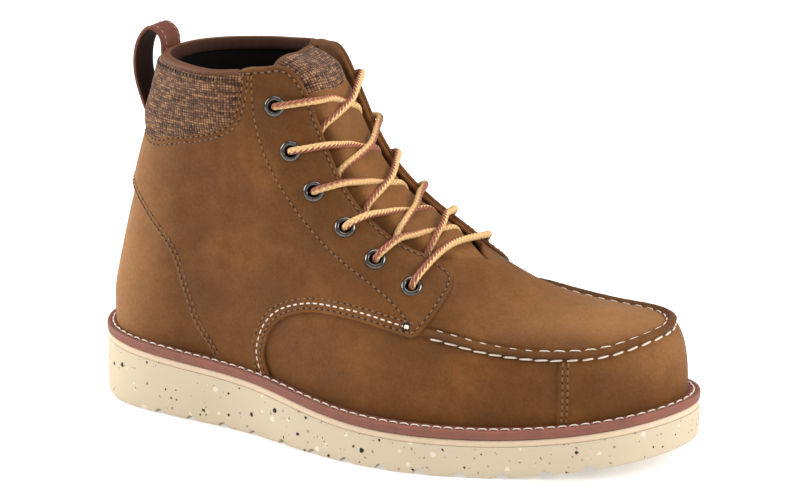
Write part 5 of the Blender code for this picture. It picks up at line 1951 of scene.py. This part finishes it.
def white_runs():
    """Runs of thick white thread: over the wings, along the moccasin seam and in the welt's groove."""
    runs = []
    for side in SIDES:
        wing = SEAMS[side].wing
        line = inset(wing[wing[:, 1] > SEWN_FOOT], outward(side) * WING_ROW)
        runs += [sewn_on(line, SEWN_LIFT, pitch=3.6, length=2.9, width=0.76),
                 sewn_on(line[-4:], SEWN_LIFT, pitch=2.4, length=2.8, width=1.9)]
    ring = np.linspace(SEAM_START + SEWN_AFTER, RING - SEAM_START - SEWN_AFTER, 500)
    seam = np.column_stack([ring, seam_level(ring)])
    runs.append(sewn_on(inset(seam, -2.3), 0.2, MOC_PITCH, length=6.2, width=1.05, slant=0.07))
    sunk = np.where(ring < TOE, MOC_SUNK * fade(ring, *MOC_SUNK_END), 0.0)
    upper_row = inset(seam, 2.2)
    share = np.linspace(0, 1, len(spaced(upper_row, SEWN_STEP)))
    lift = 0.1 - np.interp(share, np.linspace(0, 1, len(ring)), sunk)
    runs.append(sewn_on(upper_row, lift, MOC_PITCH, length=5.2, width=0.75, slant=-0.05))
    groove = edge_ring(np.linspace(0, RING, 3000), WELT_GROOVE)
    points = np.column_stack([groove, sole_top(groove[:, 0]) + WELT_HEIGHT * WELT_GROOVE_SHARE])
    upright = np.tile([0.0, 0.0, 1.0], (len(points), 1))
    runs.append(Run(points, upright, pitch=5.2, length=4.5, width=0.9, slant=0.0))
    return runs


def tick_run():
    """Upright ticks of thread that hold the binding to the knit."""
    s = np.linspace(-BINDING_END + 0.1, BINDING_END - 0.1, 300)
    below = 1.9
    st = at_level(s, TOP_LEVEL - below / (LEVEL_MM[5] - LEVEL_MM[4]))
    points = cuff_points(st, np.full(len(s), below))
    normals = unit(read(NORMAL, st[:, 0], st[:, 1]))
    return Run(points, normals, pitch=2.3, length=1.9, width=0.8, slant=math.pi / 2)


def tack_runs():
    """Bar tacks at the foot of each tab: upright threads side by side."""
    runs = []
    for side in SIDES:
        line = inset(SEAMS[side].wing[-5:], outward(side) * 4.6)
        runs.append(sewn_on(line, SEWN_LIFT, pitch=1.2, length=6.5, width=0.9, slant=math.pi / 2))
    return runs


def tongue_run():
    """The row that sews the tongue's leather over its knitted top."""
    points, run = tongue_grid()
    row = np.argmin(np.abs(run - (run[-1] - TONGUE_KNIT - 1.8)))
    width = points.shape[1]
    part = slice(width // 8, width - width // 8)
    normals = grid_normals(points)[row, part]
    return Run(points[row, part] + normals * 0.8, normals, pitch=2.8, length=2.1, width=0.8, slant=0.0)


def loop_runs():
    """Rows along both edges of the pull loop's outer face."""
    run, out = loop_run()
    normals = np.column_stack([out[:, 0], np.zeros(len(out)), out[:, 1]])
    runs = []
    for y in (-LOOP_WIDTH / 2 + LOOP_ROW, LOOP_WIDTH / 2 - LOOP_ROW):
        points = np.column_stack([run[:, 0], np.full(len(run), y), run[:, 1]])
        points = points + normals * (LOOP_THICK / 2 - 0.2)
        runs.append(Run(points, normals, pitch=3.0, length=2.2, width=0.7, slant=0.0))
    return runs


class BOOT_PT_panel(bpy.types.Panel):
    """Lists the boot's pieces in the sidebar."""
    bl_idname = "BOOT_PT_panel"
    bl_label = "Moc toe work boot"
    bl_space_type = "VIEW_3D"
    bl_region_type = "UI"
    bl_category = "Boot"

    def draw(self, context):
        for operator in OPERATORS:
            self.layout.operator(operator.bl_idname)
        for group in (context.scene.boot_sizes, context.scene.boot_colours):
            for name in group.__annotations__:
                self.layout.prop(group, name)


OPERATORS = (BOOT_OT_stage, BOOT_OT_sole, BOOT_OT_upper, BOOT_OT_quarters, BOOT_OT_cuff, BOOT_OT_tongue,
             BOOT_OT_loop, BOOT_OT_eyelets, BOOT_OT_laces, BOOT_OT_stitches)
CLASSES = (BootSizes, BootColours, *OPERATORS, BOOT_PT_panel)


def register():
    """Registers the classes and the scene's settings."""
    for cls in CLASSES:
        bpy.utils.register_class(cls)
    bpy.types.Scene.boot_sizes = bpy.props.PointerProperty(type=BootSizes)
    bpy.types.Scene.boot_colours = bpy.props.PointerProperty(type=BootColours)


def unregister():
    """Takes the settings and the classes away again."""
    del bpy.types.Scene.boot_colours
    del bpy.types.Scene.boot_sizes
    for cls in reversed(CLASSES):
        bpy.utils.unregister_class(cls)


def main():
    """Builds every piece in order."""
    register()
    for operator in OPERATORS:
        group, name = operator.bl_idname.split(".")
        getattr(getattr(bpy.ops, group), name)()


if __name__ == "__main__":
    main()
